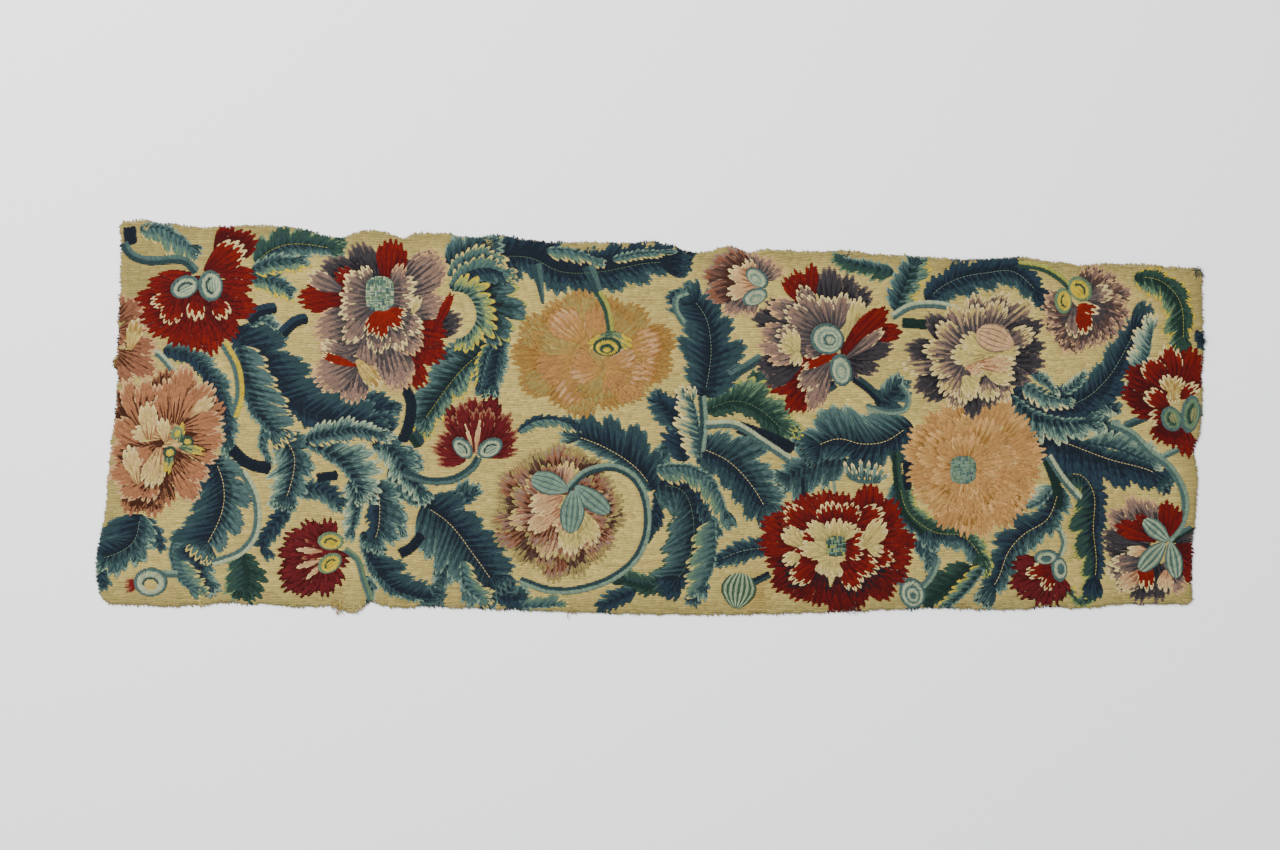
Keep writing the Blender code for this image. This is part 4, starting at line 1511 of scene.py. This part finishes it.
work = Work("broad_leaf_of_the_middle_right")
petals(work, 0.0003, [
    ("spray", (850, 478, 843, 462, 2.6), (856, 480, 853, 463, 2.6), (862, 481, 862, 460, 2.8),
     (867, 481, 869, 461, 2.6), (872, 482, 876, 463, 2.6), (875, 482, 884, 467, 2.6),
     (874, 483, 891, 474, 2.6)),
])
stem(work, [(842, 466), (850, 477), (864, 482), (880, 481)], 2.4, "teal", "teal")
stem(work, [(900, 384), (908, 396), (905, 409), (888, 412), (866, 406)], 4.0, "pale teal", "teal")
leaf(work, [(875, 404), (888, 394), (900, 380)], 10.0, 14.0, 3, DEEP, NAVY)
leaf(
    work, [(912, 424), (886, 441), (862, 444), (836, 439), (804, 452)],
    21.0, 30.0, 5, NAVY, TEAL, "cream",
)
leaf(work, [(846, 456), (812, 463), (778, 482)], 21.0, 14.0, 5, DEEP, TEAL)
leaf(work, [(908, 468), (910, 448), (906, 428)], 9.0, 9.0, 3, NAVY, INK)
work.sew()

leaves("leaves_of_the_lower_right_middle", [
    ([(984, 566), (966, 590), (944, 610)], 4, 11, 5, TEAL, YELLOW),
    ([(898, 480), (908, 512), (934, 532), (962, 536), (980, 556), (982, 574)],
     13, 14, 7, LIMED, DEEP, "lime"),
    ([(940, 532), (962, 526), (988, 524)], 8, 7, 4, LIMED, DEEP),
    ([(916, 538), (928, 552), (930, 568)], 9, 9, 3, TEAL, DEEP),
    ([(972, 566), (954, 584), (926, 606)], 6, 18, 5, DARK_GREEN, DARK_GREEN),
])

leaves("leaves_of_the_top_right", [
    ([(894, 272), (866, 266), (836, 258)], 10, 6, 4, GREEN, DEEP),
    ([(896, 312), (904, 288), (916, 258)], 13, 15, 5, DEEP, YELLOW),
    ([(926, 302), (940, 288), (960, 278), (986, 273), (1016, 273), (1048, 304)],
     13, 16, 7, INK, NAVY, "pale teal"),
    ([(1134, 276), (1162, 282), (1181, 306), (1183, 352)],
     10, 19, 5, ("dark green", "leaf green", "leaf green", "yellow"),
     ("dark green", "dark green", "leaf green", "sea green", "yellow"), "lime"),
    ([(1196, 330), (1201, 345)], 5, 5, 2, INK, INK),
])

leaves("branch_of_the_right_side", [
    ([(1133, 402), (1143, 374), (1149, 345), (1153, 318)],
     14, 3, 4, ("deep teal", "teal", "pale teal", "ice", "cream"), TEAL),
    ([(1022, 384), (1046, 397), (1070, 402)],
     4, 11, 4, TEAL, ("deep teal", "teal", "pale teal", "cream")),
    ([(1030, 372), (1044, 380), (1056, 392)], 5, 5, 2, PALE, TEAL),
    ([(1062, 394), (1072, 386), (1084, 374)], 6, 6, 3, PALE, TEAL),
    ([(1010, 396), (1034, 414), (1066, 422), (1098, 418)], 5, 19, 6, TEAL, PALE),
    ([(1012, 390), (1040, 408), (1078, 402), (1106, 380), (1126, 348), (1146, 306)],
     16, 14, 8, NAVY, INK, "pale teal"),
    ([(1076, 410), (1098, 404), (1118, 408)], 7, 11, 4, NAVY, PALE),
])

leaves("leaves_of_the_right_side", [
    ([(1088, 442), (1118, 448), (1160, 466)],
     15, 4, 5, ("deep teal", "teal", "pale teal", "ice"), NAVY),
    ([(1026, 430), (1068, 444), (1108, 459), (1148, 470), (1170, 484)],
     13, 22, 7, NAVY, INK, "cream"),
    ([(1090, 424), (1104, 426), (1120, 440)], 9, 8, 3, DEEP, NAVY),
    ([(1052, 486), (1038, 502), (1016, 510)], 4, 11, 5, TEAL, TURNED),
    ([(1060, 486), (1048, 518), (1024, 534), (1008, 552), (998, 578), (982, 602)],
     15, 15, 8, DEEP, NAVY, "cream"),
    ([(1062, 474), (1082, 476), (1094, 496), (1093, 530), (1096, 562), (1092, 596)],
     10, 18, 7, INK,
     ("navy", "dark green", "deep teal", "leaf green", "leaf green", "lime"), "straw"),
    ([(1096, 594), (1082, 602), (1068, 590)], 5, 8, 3, LIMED, YELLOW),
])


# Ground: the cloth between the motifs is filled in straw coloured wool, in rows
# along the panel that waver a little. It is painted darker and greener along the cut
# sides, partly soiling and partly painted shade where the edges roll away, with painted
# shade at the top left corner and a brown stain low in the middle, and it is sewn in bays.

GROUND_PITCH = 0.00125
GROUND_STITCH = 0.0074
GROUND_BAYS = 6
GROUND_TAIL = 0.0009
GROUND_UNEVEN = 0.32
NARROWEST_GAP = 0.0012
WAVER_DEPTH = 0.0007
# painted shade and soiling: the ground is darker and greener towards the cut sides
KHAKI_BORDER = 0.020
SHADE_AND_SOIL_SHARE = 0.9
# painted shade that darkens the ground at the top left corner
SHADED_CORNER = (120, 250)
SHADED_CORNER_REACH = 0.10
PATCHINESS = 0.10
STAIN_AT = (757, 592)
STAIN_SIZE = (0.010, 0.016)
STAIN_SHARE = 0.55

ground_low, ground_high = outline.min(axis=0), outline.max(axis=0)

starts, ends = [], []
rows = int((ground_high[1] - ground_low[1]) / GROUND_PITCH) + 2
columns = np.arange(grid_shape[0])
run_x = grid_low[0] + (columns + 0.5) * CELL
for row in range(rows):
    level = ground_low[1] + (row - 0.5) * GROUND_PITCH
    waver = WAVER_DEPTH * (
        np.sin(run_x * 74.0 + level * 9.0) + 0.6 * np.sin(run_x * 171.0 + level * 26.0 + 1.0)
    )
    run_y = level + waver
    cell_row = np.floor((run_y - grid_low[1]) / CELL).astype(int)
    valid = (cell_row >= 0) & (cell_row < grid_shape[1])
    open_here = np.zeros(len(columns), dtype=bool)
    open_here[valid] = free_cells[cell_row[valid], columns[valid]]
    change = np.flatnonzero(np.diff(np.concatenate([[0], open_here.astype(int), [0]])))
    for begin, finish in zip(change[::2], change[1::2]):
        room = (finish - begin) * CELL
        if room < NARROWEST_GAP:
            continue
        count = max(1, round(room / GROUND_STITCH))
        cuts = np.linspace(begin, finish - 1, count + 1)
        uneven = chance.uniform(-GROUND_UNEVEN, GROUND_UNEVEN, count - 1)
        cuts[1:-1] += uneven * (finish - begin) / count
        cuts = cuts.astype(int)
        for here, there in zip(cuts[:-1], cuts[1:]):
            starts.append((run_x[here], run_y[here]))
            ends.append((run_x[there], run_y[there]))
starts, ends = np.array(starts), np.array(ends)
middles = 0.5 * (starts + ends)
shape_next = np.roll(outline, -1, axis=0)
edge_way = shape_next - outline
edge_part = np.clip(
    np.einsum("ijk,jk->ij", middles[:, None, :] - outline[None, :, :], edge_way)
    / np.einsum("jk,jk->j", edge_way, edge_way),
    0.0, 1.0,
)
nearest = outline[None, :, :] + edge_part[..., None] * edge_way[None, :, :]
to_edge = np.sqrt(((middles[:, None, :] - nearest) ** 2).sum(axis=2).min(axis=1))
# painted shade and soiling, darker and greener towards the cut sides
shade_and_soil = np.clip(1.0 - to_edge / KHAKI_BORDER, 0.0, 1.0) ** 1.2
# painted shade, darker and greener towards the top left corner
corner_reach = np.linalg.norm(middles - on_cloth(SHADED_CORNER), axis=1)
shade_and_soil = np.maximum(shade_and_soil, np.clip(1.2 - corner_reach / SHADED_CORNER_REACH, 0.0, 1.0))
patchy = 0.5 + 0.5 * np.sin(middles[:, 0] * 31.0 + 2.0 * np.sin(middles[:, 1] * 27.0))
wool = dyed("straw") * (1.0 - PATCHINESS * patchy)[:, None]
khaki = (SHADE_AND_SOIL_SHARE * shade_and_soil)[:, None]
wool = wool * (1.0 - khaki) + dyed("khaki") * khaki
from_stain = np.linalg.norm((middles - on_cloth(STAIN_AT)) / STAIN_SIZE, axis=1)
stain = (STAIN_SHARE * np.exp(-(from_stain ** 2)))[:, None]
wool = wool * (1.0 - stain) + dyed("ochre") * stain
bay = np.clip(
    ((middles[:, 0] - ground_low[0]) / (ground_high[0] - ground_low[0]) * GROUND_BAYS).astype(int),
    0, GROUND_BAYS - 1,
)
for index in range(GROUND_BAYS):
    chosen = bay == index
    work = Work(f"ground_bay_{index + 1}")
    work.lay(starts[chosen], ends[chosen], wool[chosen], width=GROUND_PITCH)
    work.sew(tail=GROUND_TAIL)


# Frayed sides: the cut ends of the yarns stand out past the linen all the way round,
# each in the shade of the work beside it.

FRAY_SPACING = 0.0010
FRAY_WIDTH = 0.0008
FRAY_LEVEL = 0.0005
FRAY_ROOT = 0.0020
FRAY_SWING = 0.45
FRAY_REACH = 0.0007
FRAY_SHORTEST = 0.0002

tree_places = np.concatenate(sewn_places)
tree_shades = np.concatenate(sewn_shades)
tree = KDTree(len(tree_places))
for index, spot in enumerate(tree_places):
    tree.insert((spot[0], spot[1], 0.0), index)
tree.balance()
work = Work("frayed_sides")
begin_points, end_points, fray_shades = [], [], []
for here, there in zip(outline, np.roll(outline, -1, axis=0)):
    way = there - here
    span = float(np.linalg.norm(way))
    outward = np.array([way[1], -way[0]]) / span
    for part in np.arange(chance.uniform(0.0, 1.0), span / FRAY_SPACING):
        spot = here + way * part * FRAY_SPACING / span
        lean = outward + way / span * chance.normal(0.0, FRAY_SWING)
        lean /= np.linalg.norm(lean)
        stands = abs(chance.normal(0.0, FRAY_REACH)) + FRAY_SHORTEST
        _, index, _ = tree.find((spot[0], spot[1], 0.0))
        begin_points.append(spot - outward * FRAY_ROOT)
        end_points.append(spot + lean * stands)
        fray_shades.append(tree_shades[index])
work.lay(begin_points, end_points, np.array(fray_shades), width=FRAY_WIDTH)
work.sew(base=FRAY_LEVEL)

# Loose threads: tufts of yarn that have worked free along the sides, and a small
# knot at the top right corner.

THREAD_WIDTH = 0.00045
THREAD_LIFT = 0.0002
TUFT_SPREAD = 0.0012
TUFT_SWING = 34.0
TUFT_CURL = 0.5
TUFT_STEPS = 5
# each tuft: place, the way it points in degrees, its strands, their reach in mm, wools
TUFTS = [
    (146, 229, 90, 12, 4.0, ("teal", "straw")),
    (488, 243, 80, 10, 4.0, ("khaki", "straw", "slate")),
    (590, 250, 70, 10, 3.5, ("straw", "pale teal")),
    (843, 258, 90, 12, 4.5, ("teal", "deep teal")),
    (956, 263, 90, 8, 4.0, ("blue", "teal")),
    (1197, 275, 80, 34, 5.0, ("slate", "khaki", "teal", "slate")),
    (1199, 340, 0, 14, 5.0, ("navy", "navy", "blue")),
    (340, 603, 250, 22, 8.0, ("straw", "ochre", "khaki")),
    (356, 603, 290, 18, 7.0, ("straw", "khaki", "cream")),
    (570, 607, 268, 3, 8.0, ("khaki",)),
    (856, 608, 262, 3, 8.0, ("slate",)),
    (117, 362, 180, 8, 4.5, ("ochre", "khaki")),
]
work = Work("loose_threads")
for x, y, pointing, strands, reach, wools in TUFTS:
    spot = on_cloth((x, y)) + chance.normal(0.0, TUFT_SPREAD, (strands, 2))
    way = np.radians(pointing + chance.normal(0.0, TUFT_SWING, strands))
    curl = chance.normal(0.0, TUFT_CURL, strands)
    step = reach * MM / TUFT_STEPS * chance.uniform(0.6, 1.1, strands)
    shade = np.array([dyed(wools[index % len(wools)]) for index in range(strands)])
    for _ in range(TUFT_STEPS):
        following = spot + step[:, None] * np.stack([np.cos(way), np.sin(way)], axis=1)
        work.lay(spot, following, shade, width=THREAD_WIDTH, lift=THREAD_LIFT)
        spot = following
        way = way + curl
work.sew()


# Floor, light and camera: a pale floor under soft studio light, and the camera
# straight above, its frame as wide on the cloth as the photograph.

FLOOR_COLOUR = (0.955, 0.96, 0.95, 1.0)
PHOTO_WIDTH = 1280.0
PHOTO_MIDDLE = (640.0, 425.0)
CAMERA_HEIGHT = 2.4
SENSOR = 36.0
FLOOR_SIZE = 8.0
FLOOR_DROP = 0.0004
SKY_COLOUR = (0.93, 0.96, 1.0, 1.0)
SKY_LIGHT = 0.62

bpy.ops.mesh.primitive_plane_add(size=FLOOR_SIZE, location=(0.0, 0.0, -FLOOR_DROP))
floor = bpy.context.object
floor.name = "floor"
floor_material, nodes, links, shader = new_material("pale floor")
shader.inputs["Base Color"].default_value = FLOOR_COLOUR
shader.inputs["Roughness"].default_value = 0.9
floor.data.materials.append(floor_material)

world = bpy.data.worlds.new("studio")
world.use_nodes = True
sky = world.node_tree.nodes["Background"]
sky.inputs["Color"].default_value = SKY_COLOUR
sky.inputs["Strength"].default_value = SKY_LIGHT
bpy.context.scene.world = world


def lamp(name, place, size, power):
    """A square soft box that faces the middle of the panel."""
    light = bpy.data.lights.new(name, "AREA")
    light.shape = "SQUARE"
    light.size = size
    light.energy = power
    holder = bpy.data.objects.new(name, light)
    holder.location = place
    aim = Vector((0.0, 0.0, 0.0)) - Vector(place)
    holder.rotation_euler = aim.to_track_quat("-Z", "Y").to_euler()
    bpy.context.scene.collection.objects.link(holder)


lamp("key soft box", (-1.0, 1.1, 1.7), 1.1, 96.0)
lamp("fill soft box", (1.4, -0.4, 1.8), 1.4, 14.0)

view_centre = on_cloth(PHOTO_MIDDLE)
camera_data = bpy.data.cameras.new("camera")
camera_data.sensor_width = SENSOR
camera_data.lens = SENSOR * CAMERA_HEIGHT / (PHOTO_WIDTH * PIXEL)
camera = bpy.data.objects.new("camera", camera_data)
camera.location = (view_centre[0], view_centre[1], CAMERA_HEIGHT)
bpy.context.scene.collection.objects.link(camera)
bpy.context.scene.camera = camera
